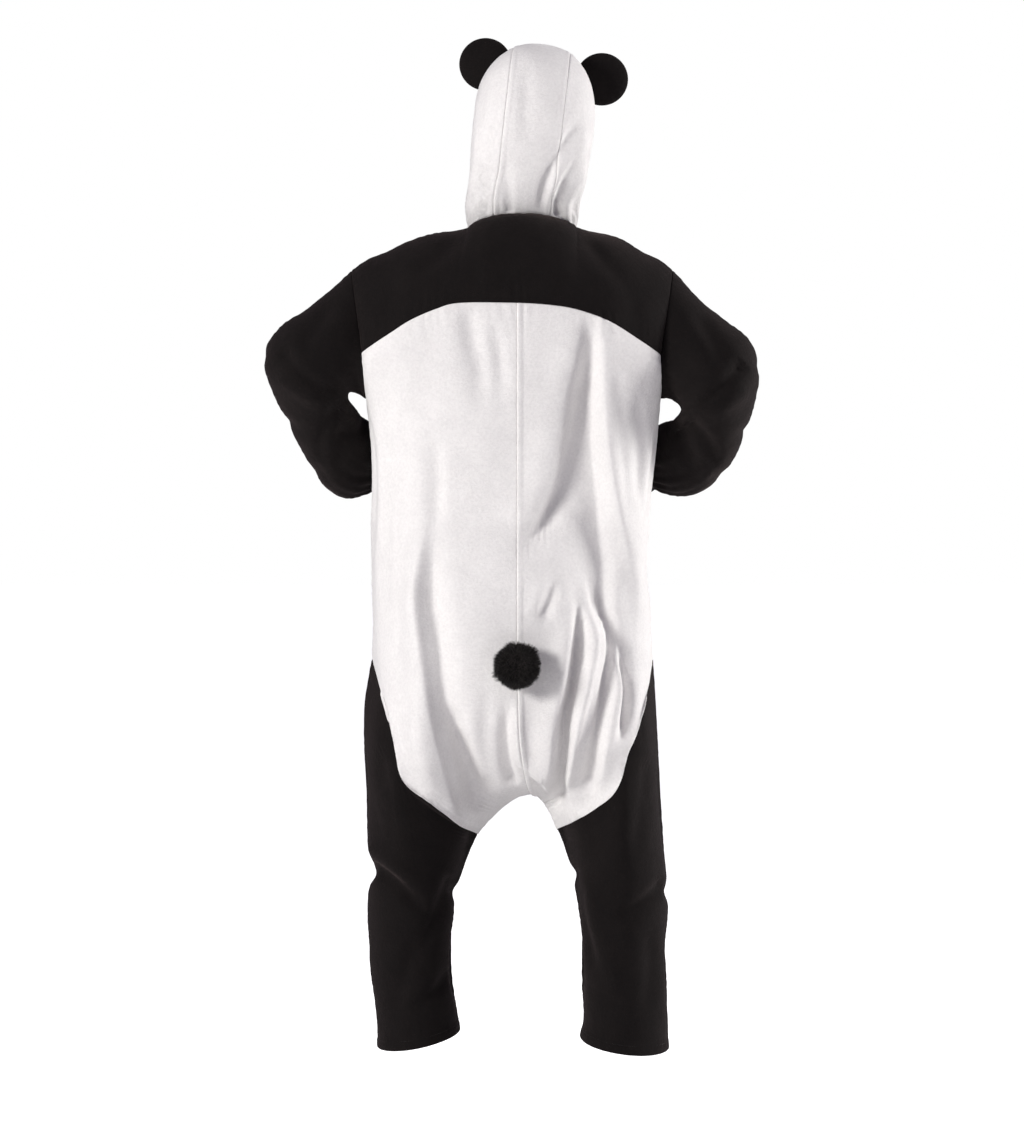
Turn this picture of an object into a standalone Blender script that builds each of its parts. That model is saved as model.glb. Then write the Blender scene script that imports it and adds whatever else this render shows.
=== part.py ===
"""Hooded panda costume in fleece, filled out as it is worn, with both cuffs at the hips.

Metres, +Z up. The front faces -Y and the wearer's left is +X. The origin is in the middle of
the shoulder line, where a wearer's shoulders carry the cloth. One surface is worked out for
the whole garment from tables of sections, and every cut piece is a thin wall on a patch of it.
"""

import math
from collections import namedtuple

import bmesh
import bpy
import numpy as np
from mathutils import Matrix, Vector

# Cloth and seams
CLOTH = 0.002
SEAM_GAP = 0.0004
LIFT = 0.0004
SEAM_DIAGONAL = Vector((0.29, 0.13, 1.0))

# How finely the surface is divided
COLUMNS = 26
YOKE_ROWS = 6
ARMPIT_ROWS = 3
SIDE_ROWS = 10
SEAT_ROWS = 10
SLEEVE_ROWS = 12
CUFF_ROWS = 2
LEG_ROWS = 12
HOOD_COLUMNS = 20
ROUNDNESS = 0.85
MIDDLE_COLUMNS_CLOSER = 1.6
ANGLE_SAMPLES = 200
SEAT_MIDDLE_ROUND = 1.8

# Neck and shoulders
NECK_X = -0.0165
NECK_HALF_WIDTH = 0.0905
NECK_SIDE_Z = 0.004
NECK_BACK = (0.060, 0.022)
NECK_FRONT = (-0.092, -0.052)
NECK_SHOULDER_COLUMNS = 8
NECK_DROP_ROUND = 1.4
SHOULDER_ROUND = 0.91

# How far the sleeve seam stands out from the shoulder line, to the back and to the front
ARMHOLE_DEPTH = 0.076

# Front opening
PLACKET_HALF_WIDTH = 0.018
PLACKET_BOTTOM_ROW = YOKE_ROWS + ARMPIT_ROWS + SIDE_ROWS
BUTTON_RADIUS = 0.009
BUTTON_THICKNESS = 0.0036
BUTTON_REACH = 1.2
BUTTON_HEIGHTS = (-0.085, -0.195, -0.305, -0.415, -0.525, -0.635)

# Hood
HOOD_TILT = math.radians(6.3)
HOOD_TILT_FROM = 0.030
HOOD_TILT_HEIGHT = 0.060
HOOD_GUSSET_HALF_WIDTH = 0.048
HOOD_DOME = 0.125
HOOD_DOME_MOST = 0.8
HOOD_ROUNDNESS = 0.90
HOOD_CHEEK = 1.8
HOOD_SIDE_COLUMNS = 6
HOOD_SIDE_COLUMNS_WIDER = 1.25
HOOD_ROWS_PER_NECK_STEP = 4
ARCH_SAMPLES = 40
HEAD_CENTRE = (0, -0.03, 0.12)
EAR_RADIUS = 0.0445
EAR_HALF_THICKNESS = 0.012
EAR_CENTRES = {"left": (0.0447, -0.016, 0.2814), "right": (-0.1517, -0.016, 0.2561)}

# Tail
TAIL_AT = (-0.008, -0.726)
TAIL_CORE_RADIUS = 0.030
TAIL_RADIUS = 0.0410
TAIL_HEIGHT = 0.0315
TAIL_LOCKS = 200
TAIL_SHORTEST_LOCK = 0.88

# The shoulder line, from the sleeve seam to the neck
Shoulder = namedtuple("Shoulder", "x z")
SHOULDER = (
    Shoulder(0.270, -0.069),
    Shoulder(0.245, -0.050),
    Shoulder(0.213, -0.036),
    Shoulder(0.181, -0.019),
    Shoulder(0.149, -0.008),
    Shoulder(0.113, -0.002),
    Shoulder(NECK_HALF_WIDTH, NECK_SIDE_Z),
)

# The lower edge of the black yoke, from the left sleeve seam to the right one
Arch = namedtuple("Arch", "x z")
YOKE_ARCH = (
    Arch(0.249, -0.210),
    Arch(0.199, -0.178),
    Arch(0.166, -0.158),
    Arch(0.126, -0.141),
    Arch(0.086, -0.131),
    Arch(-0.008, -0.131),
    Arch(-0.069, -0.135),
    Arch(-0.109, -0.142),
    Arch(-0.149, -0.156),
    Arch(-0.184, -0.174),
    Arch(-0.247, -0.214),
)

# Sections of the body from the armpits to the hips: side edges and depth each way
Section = namedtuple("Section", "z left right middle back front")
BODY = (
    Section(-0.285, 0.245, -0.251, -0.008, 0.128, 0.132),
    Section(-0.371, 0.238, -0.244, -0.008, 0.124, 0.138),
    Section(-0.455, 0.236, -0.234, -0.008, 0.127, 0.143),
    Section(-0.556, 0.234, -0.225, -0.008, 0.140, 0.146),
    Section(-0.640, 0.233, -0.231, -0.008, 0.154, 0.142),
    Section(-0.721, 0.237, -0.237, -0.008, 0.162, 0.134),
)

# The seat from the hips to the crotch, between the two leg seams
Seat = namedtuple(
    "Seat",
    "left_x left_z right_x right_z seam_back seam_front middle_x middle_z back front",
)
SEAT = (
    Seat(0.237, -0.721, -0.237, -0.721, 0.000, 0.000, -0.008, -0.721, 0.162, 0.134),
    Seat(0.215, -0.779, -0.223, -0.779, 0.086, 0.076, -0.009, -0.764, 0.163, 0.129),
    Seat(0.200, -0.827, -0.209, -0.831, 0.116, 0.096, -0.010, -0.804, 0.158, 0.120),
    Seat(0.191, -0.871, -0.191, -0.871, 0.130, 0.104, -0.012, -0.842, 0.146, 0.107),
    Seat(0.183, -0.909, -0.180, -0.911, 0.134, 0.106, -0.016, -0.877, 0.126, 0.091),
    Seat(0.161, -0.939, -0.164, -0.940, 0.129, 0.102, -0.020, -0.907, 0.100, 0.072),
    Seat(0.125, -0.968, -0.134, -0.964, 0.110, 0.090, -0.025, -0.931, 0.070, 0.050),
    Seat(0.089, -0.995, -0.103, -0.988, 0.074, 0.062, -0.030, -0.946, 0.036, 0.026),
    Seat(0.056, -1.019, -0.074, -1.011, 0.000, 0.000, -0.034, -0.951, 0.000, 0.000),
)

# Rings of a sleeve or a leg: outer and inner edge, how far back the middle lies, half depth,
# what the depth adds sideways and downwards, and how much of the seam's own shape is left
Ring = namedtuple("Ring", "outer_x outer_z inner_x inner_z y depth lean drop keep")
LEFT_SLEEVE = (
    Ring(0.270, -0.069, 0.245, -0.285, 0.000, 0.078, 0.000, 0, 1.00),
    Ring(0.302, -0.099, 0.257, -0.277, 0.004, 0.086, 0.000, 0, 0.45),
    Ring(0.347, -0.136, 0.266, -0.274, 0.012, 0.088, 0.000, 0, 0.10),
    Ring(0.389, -0.166, 0.272, -0.274, 0.018, 0.086, 0.000, 0, 0.00),
    Ring(0.417, -0.211, 0.275, -0.279, 0.018, 0.084, 0.000, 0, 0.00),
    Ring(0.407, -0.262, 0.274, -0.287, 0.006, 0.084, -0.004, 0, 0.00),
    Ring(0.383, -0.318, 0.269, -0.296, -0.018, 0.082, -0.008, 0, 0.00),
    Ring(0.355, -0.378, 0.262, -0.305, -0.046, 0.076, -0.010, 0, 0.00),
    Ring(0.321, -0.431, 0.253, -0.314, -0.076, 0.068, -0.012, 0, 0.00),
    Ring(0.281, -0.453, 0.241, -0.325, -0.106, 0.058, -0.014, 0, 0.00),
    Ring(0.238, -0.438, 0.222, -0.346, -0.134, 0.043, -0.014, 0, 0.00),
)
RIGHT_SLEEVE = (
    Ring(-0.270, -0.069, -0.251, -0.285, 0.000, 0.078, 0.000, 0, 1.00),
    Ring(-0.319, -0.121, -0.264, -0.285, 0.004, 0.086, 0.000, 0, 0.45),
    Ring(-0.358, -0.153, -0.273, -0.290, 0.012, 0.088, 0.000, 0, 0.10),
    Ring(-0.396, -0.184, -0.280, -0.296, 0.018, 0.086, 0.000, 0, 0.00),
    Ring(-0.416, -0.229, -0.283, -0.303, 0.018, 0.084, 0.000, 0, 0.00),
    Ring(-0.413, -0.274, -0.280, -0.310, 0.006, 0.084, 0.004, 0, 0.00),
    Ring(-0.399, -0.332, -0.273, -0.316, -0.018, 0.082, 0.008, 0, 0.00),
    Ring(-0.374, -0.390, -0.265, -0.320, -0.046, 0.076, 0.010, 0, 0.00),
    Ring(-0.338, -0.432, -0.257, -0.324, -0.076, 0.068, 0.012, 0, 0.00),
    Ring(-0.296, -0.450, -0.246, -0.331, -0.106, 0.058, 0.014, 0, 0.00),
    Ring(-0.250, -0.437, -0.228, -0.347, -0.134, 0.043, 0.014, 0, 0.00),
)
LEFT_CUFF = (
    Ring(0.2365, -0.4360, 0.2215, -0.3490, -0.1355, 0.041, -0.014, 0, 0.00),
    Ring(0.221, -0.445, 0.203, -0.368, -0.152, 0.036, -0.014, 0, 0.00),
    Ring(0.204, -0.458, 0.184, -0.384, -0.168, 0.037, -0.014, 0, 0.00),
)
RIGHT_CUFF = (
    Ring(-0.2485, -0.4350, -0.2275, -0.3500, -0.1355, 0.041, 0.014, 0, 0.00),
    Ring(-0.232, -0.445, -0.210, -0.368, -0.152, 0.036, 0.014, 0, 0.00),
    Ring(-0.214, -0.458, -0.191, -0.384, -0.168, 0.037, 0.014, 0, 0.00),
)
LEFT_LEG = (
    Ring(0.237, -0.721, 0.056, -1.019, 0.013, 0.118, 0, 0.000, 1.00),
    Ring(0.249, -0.792, 0.062, -1.032, 0.013, 0.118, 0, 0.000, 0.90),
    Ring(0.250, -0.868, 0.071, -1.053, 0.013, 0.116, 0, 0.000, 0.72),
    Ring(0.247, -0.944, 0.081, -1.076, 0.012, 0.111, 0, 0.000, 0.48),
    Ring(0.246, -1.019, 0.089, -1.098, 0.011, 0.105, 0, 0.000, 0.26),
    Ring(0.234, -1.066, 0.095, -1.122, 0.010, 0.100, 0, 0.000, 0.10),
    Ring(0.241, -1.118, 0.098, -1.157, 0.008, 0.096, 0, 0.000, 0.00),
    Ring(0.242, -1.182, 0.101, -1.206, 0.006, 0.092, 0, 0.002, 0.00),
    Ring(0.239, -1.250, 0.100, -1.259, 0.004, 0.088, 0, 0.004, 0.00),
    Ring(0.229, -1.317, 0.093, -1.309, 0.002, 0.085, 0, 0.008, 0.00),
    Ring(0.226, -1.374, 0.088, -1.347, 0.000, 0.087, 0, 0.003, 0.00),
)
RIGHT_LEG = (
    Ring(-0.237, -0.721, -0.074, -1.011, 0.013, 0.118, 0, 0.000, 1.00),
    Ring(-0.243, -0.792, -0.081, -1.027, 0.013, 0.118, 0, 0.000, 0.90),
    Ring(-0.247, -0.872, -0.089, -1.049, 0.013, 0.116, 0, 0.000, 0.72),
    Ring(-0.251, -0.950, -0.098, -1.075, 0.012, 0.111, 0, 0.000, 0.48),
    Ring(-0.256, -1.024, -0.104, -1.103, 0.011, 0.105, 0, 0.000, 0.26),
    Ring(-0.260, -1.086, -0.110, -1.135, 0.010, 0.100, 0, 0.000, 0.10),
    Ring(-0.262, -1.143, -0.114, -1.174, 0.008, 0.096, 0, 0.000, 0.00),
    Ring(-0.259, -1.204, -0.116, -1.221, 0.006, 0.092, 0, 0.002, 0.00),
    Ring(-0.262, -1.268, -0.117, -1.273, 0.004, 0.088, 0, 0.005, 0.00),
    Ring(-0.263, -1.328, -0.120, -1.322, 0.002, 0.085, 0, 0.010, 0.00),
    Ring(-0.264, -1.376, -0.115, -1.360, 0.000, 0.087, 0, 0.006, 0.00),
)

# The hood's middle line from the forehead over the crown to the nape, and its half width there
Crown = namedtuple("Crown", "y z half_width")
HOOD = (
    Crown(-0.096, 0.262, 0.088),
    Crown(-0.064, 0.296, 0.095),
    Crown(-0.012, 0.314, 0.100),
    Crown(0.044, 0.309, 0.101),
    Crown(0.090, 0.279, 0.101),
    Crown(0.116, 0.229, 0.100),
    Crown(0.121, 0.174, 0.099),
    Crown(0.112, 0.116, 0.096),
    Crown(0.090, 0.064, 0.092),
    Crown(NECK_BACK[0], NECK_BACK[1], NECK_HALF_WIDTH),
)

# The largest folds: a curve from start through middle to end in x and z, on the back (+1) or
# the front (-1), with its half width and how far it stands out or, below zero, falls in
Fold = namedtuple("Fold", "side start middle end width height")
FOLDS = (
    Fold(1, (0.154, -0.469), (0.144, -0.712), (0.095, -0.970), 0.030, 0.019),
    Fold(1, (0.132, -0.518), (0.119, -0.751), (0.066, -0.985), 0.022, -0.024),
    Fold(1, (-0.097, -0.149), (-0.081, -0.304), (-0.019, -0.469), 0.028, 0.013),
    Fold(1, (-0.129, -0.158), (-0.105, -0.333), (-0.029, -0.518), 0.022, -0.019),
    Fold(1, (-0.142, -0.168), (-0.146, -0.440), (-0.208, -0.732), 0.022, 0.018),
    Fold(1, (-0.109, -0.537), (-0.132, -0.654), (-0.089, -0.946), 0.022, 0.019),
    Fold(1, (-0.146, -0.537), (-0.178, -0.674), (-0.148, -0.917), 0.022, -0.015),
    Fold(1, (-0.115, -0.722), (-0.076, -0.829), (-0.064, -0.960), 0.022, -0.021),
    Fold(1, (0.136, -0.333), (0.132, -0.431), (0.136, -0.557), 0.024, -0.007),
    Fold(1, (0.058, -0.149), (0.068, -0.256), (0.070, -0.382), 0.026, -0.007),
    Fold(1, (-0.187, -0.236), (-0.191, -0.343), (-0.199, -0.518), 0.022, -0.009),
    Fold(1, (0.200, -0.479), (0.208, -0.615), (0.191, -0.849), 0.022, -0.009),
    Fold(-1, (0.150, -0.160), (0.130, -0.420), (0.150, -0.700), 0.030, 0.011),
    Fold(-1, (0.105, -0.200), (0.085, -0.460), (0.100, -0.760), 0.022, -0.010),
    Fold(-1, (-0.145, -0.160), (-0.120, -0.400), (-0.150, -0.720), 0.030, 0.011),
    Fold(-1, (-0.100, -0.220), (-0.085, -0.480), (-0.105, -0.780), 0.022, -0.010),
    Fold(-1, (0.200, -0.760), (0.130, -0.880), (0.060, -0.985), 0.024, -0.011),
    Fold(-1, (-0.200, -0.760), (-0.140, -0.880), (-0.075, -0.985), 0.024, -0.011),
    Fold(1, (0.300, -0.285), (0.345, -0.262), (0.385, -0.215), 0.020, -0.008),
    Fold(1, (0.290, -0.310), (0.320, -0.345), (0.335, -0.400), 0.018, -0.008),
    Fold(1, (-0.300, -0.300), (-0.345, -0.280), (-0.385, -0.235), 0.020, -0.008),
    Fold(1, (-0.290, -0.330), (-0.330, -0.365), (-0.350, -0.410), 0.018, -0.008),
    Fold(-1, (0.300, -0.290), (0.340, -0.260), (0.380, -0.200), 0.020, -0.010),
    Fold(-1, (-0.300, -0.310), (-0.340, -0.280), (-0.380, -0.220), 0.020, -0.010),
    Fold(1, (0.125, -1.060), (0.120, -1.130), (0.160, -1.240), 0.018, -0.008),
    Fold(1, (0.232, -1.068), (0.205, -1.085), (0.170, -1.120), 0.018, -0.011),
    Fold(1, (-0.130, -1.060), (-0.140, -1.160), (-0.180, -1.300), 0.020, 0.007),
    Fold(-1, (0.230, -1.070), (0.170, -1.090), (0.110, -1.130), 0.022, -0.012),
    Fold(-1, (-0.250, -1.090), (-0.190, -1.110), (-0.125, -1.150), 0.022, -0.012),
)

# Colour, roughness
WHITE_FLEECE = (0.86, 0.85, 0.84, 0.90)
BLACK_FLEECE = (0.012, 0.011, 0.012, 0.85)
BLACK_RIB = (0.010, 0.010, 0.011, 0.90)
BLACK_PLUSH = (0.008, 0.008, 0.009, 0.95)
BUTTON_PLASTIC = (0.020, 0.020, 0.022, 0.35)


def clear_scene():
    for obj in list(bpy.data.objects):
        bpy.data.objects.remove(obj)


def make_material(name, colour_and_roughness):
    red, green, blue, roughness = colour_and_roughness
    material = bpy.data.materials.new(name)
    material.use_nodes = True
    shader = material.node_tree.nodes["Principled BSDF"]
    shader.inputs["Base Color"].default_value = (red, green, blue, 1.0)
    shader.inputs["Roughness"].default_value = roughness
    shader.inputs["Metallic"].default_value = 0.0
    return material


def spline(rows, count):
    """count + 1 rows on a smooth curve through a table's rows."""
    knots = np.array(rows, float)
    knots = np.vstack([2 * knots[0] - knots[1], knots, 2 * knots[-1] - knots[-2]])
    place = np.linspace(0, len(rows) - 1, count + 1)
    first = np.minimum(place.astype(int), len(rows) - 2)
    t = (place - first)[:, None]
    a, b, c, d = (knots[first + k] for k in range(4))
    return b + 0.5 * t * (c - a + t * (2 * a - 5 * b + 4 * c - d + t * (3 * (b - c) + d - a)))


def smoothstep(value):
    value = np.clip(value, 0, 1)
    return value * value * (3 - 2 * value)


def column_angles():
    """Angles round a section, closer together towards the middle; the middle pair is the placket."""
    half = COLUMNS // 2
    near = math.acos((PLACKET_HALF_WIDTH / BODY[0].left) ** (1 / ROUNDNESS))
    fine = np.linspace(0, near, ANGLE_SAMPLES)
    x = BODY[0].left * np.cos(fine) ** ROUNDNESS
    y = BODY[0].back * np.sin(fine) ** ROUNDNESS
    step = np.hypot(np.diff(x), np.diff(y)) * np.linspace(1, MIDDLE_COLUMNS_CLOSER, ANGLE_SAMPLES - 1)
    run = np.concatenate([[0], np.cumsum(step)])
    left = list(np.interp(np.linspace(0, run[-1], half), run, fine))
    return np.array(left + [math.pi / 2] + [math.pi - angle for angle in reversed(left)])


def neck_angles():
    half = COLUMNS // 2 - NECK_SHOULDER_COLUMNS
    near = math.acos(PLACKET_HALF_WIDTH / NECK_HALF_WIDTH)
    left = list(np.linspace(0, near, half))
    return np.array(left + [math.pi / 2] + [math.pi - angle for angle in reversed(left)])


def neckline(side):
    """Points round the back (+1) or front (-1) of the neck, from left to right."""
    angle = neck_angles()
    y, z = NECK_BACK if side > 0 else NECK_FRONT
    drop = (z - NECK_SIDE_Z) * np.sin(angle) ** NECK_DROP_ROUND
    x = NECK_X + NECK_HALF_WIDTH * np.cos(angle)
    return np.stack([x, y * np.sin(angle), NECK_SIDE_Z + drop], axis=1)


def top_row(side):
    """The shoulder lines with the neckline between them."""
    line = np.array(SHOULDER)
    x = np.linspace(line[0, 0], line[-1, 0], NECK_SHOULDER_COLUMNS + 1)
    z = np.interp(-x, -line[:, 0], line[:, 1])
    share = np.linspace(0, 1, len(x))
    left = np.stack([x + NECK_X * share, np.zeros_like(x), z], axis=1)
    right = np.stack([NECK_X * share - x, np.zeros_like(x), z], axis=1)[::-1]
    return np.vstack([left[:-1], neckline(side), right[1:]])


def section_row(left, right, middle, even=0.0):
    """A row of points from one side edge through the middle to the other."""
    angle = column_angles()
    across = np.abs(np.cos(angle)) ** ROUNDNESS
    across += (np.abs(1 - 2 * angle / math.pi) - across) * even
    depth = np.sin(angle) ** ROUNDNESS
    edge = np.where((np.cos(angle) > 0)[:, None], left, right)
    x = middle[0] + (edge[:, 0] - middle[0]) * across
    y = edge[:, 1] + (middle[1] - edge[:, 1]) * depth
    z = middle[2] + (edge[:, 2] - middle[2]) * across**SEAT_MIDDLE_ROUND
    return np.stack([x, y, z], axis=1)


def body_rows(side):
    """All rows of the back (+1) or front (-1), from the shoulders down to the crotch."""
    arch = np.array(YOKE_ARCH)
    under_arm = BODY[0]
    depth = under_arm.back if side > 0 else under_arm.front
    rows = []
    edge_left = np.array([arch[0, 0], side * ARMHOLE_DEPTH, arch[0, 1]])
    edge_right = np.array([arch[-1, 0], side * ARMHOLE_DEPTH, arch[-1, 1]])
    middle = (under_arm.middle, side * depth, arch[len(arch) // 2, 1])
    yoke = section_row(edge_left, edge_right, middle)
    yoke[:, 2] = np.interp(-yoke[:, 0], -arch[:, 0], arch[:, 1])
    top = top_row(side)
    for angle in np.linspace(0, math.pi / 2, YOKE_ROWS + 1):
        share = max(math.cos(angle), 0) ** SHOULDER_ROUND
        bend = math.sin(angle) ** SHOULDER_ROUND
        x = yoke[:, 0] + (top[:, 0] - yoke[:, 0]) * share
        y = top[:, 1] + (yoke[:, 1] - top[:, 1]) * bend
        z = yoke[:, 2] + (top[:, 2] - yoke[:, 2]) * share
        rows.append(np.stack([x, y, z], axis=1))
    left = np.array([under_arm.left, 0, under_arm.z])
    right = np.array([under_arm.right, 0, under_arm.z])
    armpit = section_row(left, right, (under_arm.middle, side * depth, under_arm.z))
    for share in np.linspace(0, 1, ARMPIT_ROWS + 1)[1:]:
        row = yoke + (armpit - yoke) * share
        lift = math.sqrt(1 - share**2) - (1 - share)
        row[:, 1] += side * ARMHOLE_DEPTH * lift * (1 - np.sin(column_angles()) ** ROUNDNESS)
        rows.append(row)
    for z, left, right, middle, back, front in spline(BODY, SIDE_ROWS)[1:]:
        y = back if side > 0 else -front
        rows.append(section_row((left, 0, z), (right, 0, z), (middle, y, z)))
    for number, row in enumerate(spline(SEAT, SEAT_ROWS)[1:], 1):
        seat = Seat(*row)
        seam_y = side * max(seat.seam_back if side > 0 else seat.seam_front, 0)
        middle_y = seat.back if side > 0 else -seat.front
        rows.append(
            section_row(
                (seat.left_x, seam_y, seat.left_z),
                (seat.right_x, seam_y, seat.right_z),
                (seat.middle_x, middle_y, seat.middle_z),
                even=smoothstep(2 * number / SEAT_ROWS - 1),
            )
        )
    return np.array(rows)


def ring_points(ring, angle):
    """Points round one ring of a sleeve or leg; angle 0 is at the inner edge, pi / 2 at the back."""
    outer = np.array([ring.outer_x, ring.y, ring.outer_z])
    inner = np.array([ring.inner_x, ring.y, ring.inner_z])
    deep = np.array([ring.lean, ring.depth, -ring.drop])
    centre, across = (outer + inner) / 2, (outer - inner) / 2
    return centre - np.cos(angle)[:, None] * across + np.sin(angle)[:, None] * deep


def tube_rings(table, count, seam, angle):
    """Rings below a seam, whose own shape fades away over the first of them."""
    first = ring_points(table[0], angle)
    rings = []
    for row in spline(table, count)[1:]:
        ring = Ring(*row)
        rings.append(ring_points(ring, angle) + (seam - first) * max(ring.keep, 0))
    return rings


class Surface:
    """Points of the cloth's outer face, shared between grids that meet at a seam."""

    def __init__(self):
        self.points = []
        self.faces = []

    def add(self, points):
        start = len(self.points)
        self.points.extend(np.reshape(points, (-1, 3)))
        return np.arange(start, len(self.points)).reshape(np.shape(points)[:-1])

    def skin(self, grid, flip=False):
        """Registers a grid's faces, so that the normals run smoothly over every seam."""
        a, b, c, d = grid[:-1, :-1], grid[1:, :-1], grid[1:, 1:], grid[:-1, 1:]
        quads = np.stack([a, b, c, d], axis=-1).reshape(-1, 4)
        self.faces.append(quads[:, ::-1] if flip else quads)

    def normals(self):
        points = np.array(self.points)
        quads = np.vstack(self.faces)
        corners = points[quads]
        facing = np.cross(corners[:, 2] - corners[:, 0], corners[:, 3] - corners[:, 1])
        total = np.zeros_like(points)
        for k in range(4):
            np.add.at(total, quads[:, k], facing)
        return total / np.maximum(np.linalg.norm(total, axis=1), 1e-12)[:, None]

    def fold(self, folds, fixed):
        """Moves the points along their normals by every fold that passes near them."""
        points, facing = np.array(self.points), self.normals()
        rise = np.zeros(len(points))
        along = np.linspace(0, 1, 25)
        for one in folds:
            bow = 2 * np.array(one.middle) - 0.5 * (np.array(one.start) + np.array(one.end))
            curve = (
                np.outer((1 - along) ** 2, one.start)
                + np.outer(2 * along * (1 - along), bow)
                + np.outer(along**2, one.end)
            )
            gap = np.linalg.norm(points[:, None, [0, 2]] - curve[None], axis=2)
            nearest = gap.argmin(axis=1)
            taper = smoothstep(np.minimum(along[nearest], 1 - along[nearest]) * 4 + 0.15)
            seen = smoothstep(facing[:, 1] * one.side * 2)
            rise += one.height * np.exp(-((gap.min(axis=1) / one.width) ** 2)) * taper * seen
        rise[fixed] = 0
        self.points = list(points + facing * rise[:, None])


def pulled_in(grid):
    """Takes half the seam gap off every edge of a patch."""
    grid = grid.copy()
    for turned in (grid, grid.transpose(1, 0, 2)):
        for edge, within in ((0, 1), (-1, -2)):
            toward = turned[within] - turned[edge]
            length = np.linalg.norm(toward, axis=1)[:, None]
            turned[edge] += toward / length * SEAM_GAP / 2
    return grid


def add_quad(mesh, verts, points, i, j, turn=1):
    """Two triangles, split along whichever diagonal of the quad is the shorter on points."""
    k = (j + 1) % points.shape[1]
    a, b, c, d = verts[i][j], verts[i + 1][j], verts[i + 1][k], verts[i][k]
    falling = np.linalg.norm(points[i, j] - points[i + 1, k])
    rising = np.linalg.norm(points[i + 1, j] - points[i, k])
    if rising < falling:
        a, b, c, d = b, c, d, a
    mesh.faces.new((a, b, c)[::turn])
    mesh.faces.new((a, c, d)[::turn])


def wall(name, outer, inner, material, wrap=False):
    """A closed thin wall between two like grids of points: a loft whose sections are the rows."""
    rows, columns = outer.shape[:2]
    mesh = bmesh.new()
    skins = [[[mesh.verts.new(p) for p in row] for row in grid] for grid in (outer, inner)]
    last = columns if wrap else columns - 1
    for i in range(rows - 1):
        for j in range(last):
            for skin, turn in zip(skins, (1, -1)):
                add_quad(mesh, skin, outer, i, j, turn)
    rim = [(skins[0][0][j], skins[1][0][j]) for j in range(columns)]
    rims = [rim + rim[:1]] if wrap else []
    if wrap:
        rim = [(skins[0][-1][j], skins[1][-1][j]) for j in range(columns)]
        rims.append(rim + rim[:1])
    else:
        around = [(0, j) for j in range(columns)]
        around += [(i, columns - 1) for i in range(1, rows)]
        around += [(rows - 1, j) for j in range(columns - 2, -1, -1)]
        around += [(i, 0) for i in range(rows - 2, -1, -1)]
        rims.append([(skins[0][i][j], skins[1][i][j]) for i, j in around])
    for rim in rims:
        for (a, b), (c, d) in zip(rim, rim[1:]):
            if (a.co - c.co).dot(SEAM_DIAGONAL) > 0:
                mesh.faces.new((a, b, d))
                mesh.faces.new((a, d, c))
            else:
                mesh.faces.new((a, b, c))
                mesh.faces.new((b, d, c))
    bmesh.ops.recalc_face_normals(mesh, faces=mesh.faces)
    return add_object(name, mesh, material)


def add_object(name, mesh, material, smooth=True):
    data = bpy.data.meshes.new(name)
    mesh.to_mesh(data)
    mesh.free()
    obj = bpy.data.objects.new(name, data)
    data.materials.append(material)
    if smooth:
        data.shade_smooth()
        data.set_sharp_from_angle(angle=math.radians(50))
    COSTUME.objects.link(obj)
    return obj


def cloth_patch(name, grid, points, facing, material, outward=0.0):
    """A piece of cloth on a grid of point numbers; outward lifts it off what it lies on."""
    top = points[grid] + facing[grid] * outward
    under = top - facing[grid] * CLOTH
    return wall(name, pulled_in(top), pulled_in(under), material)


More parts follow.
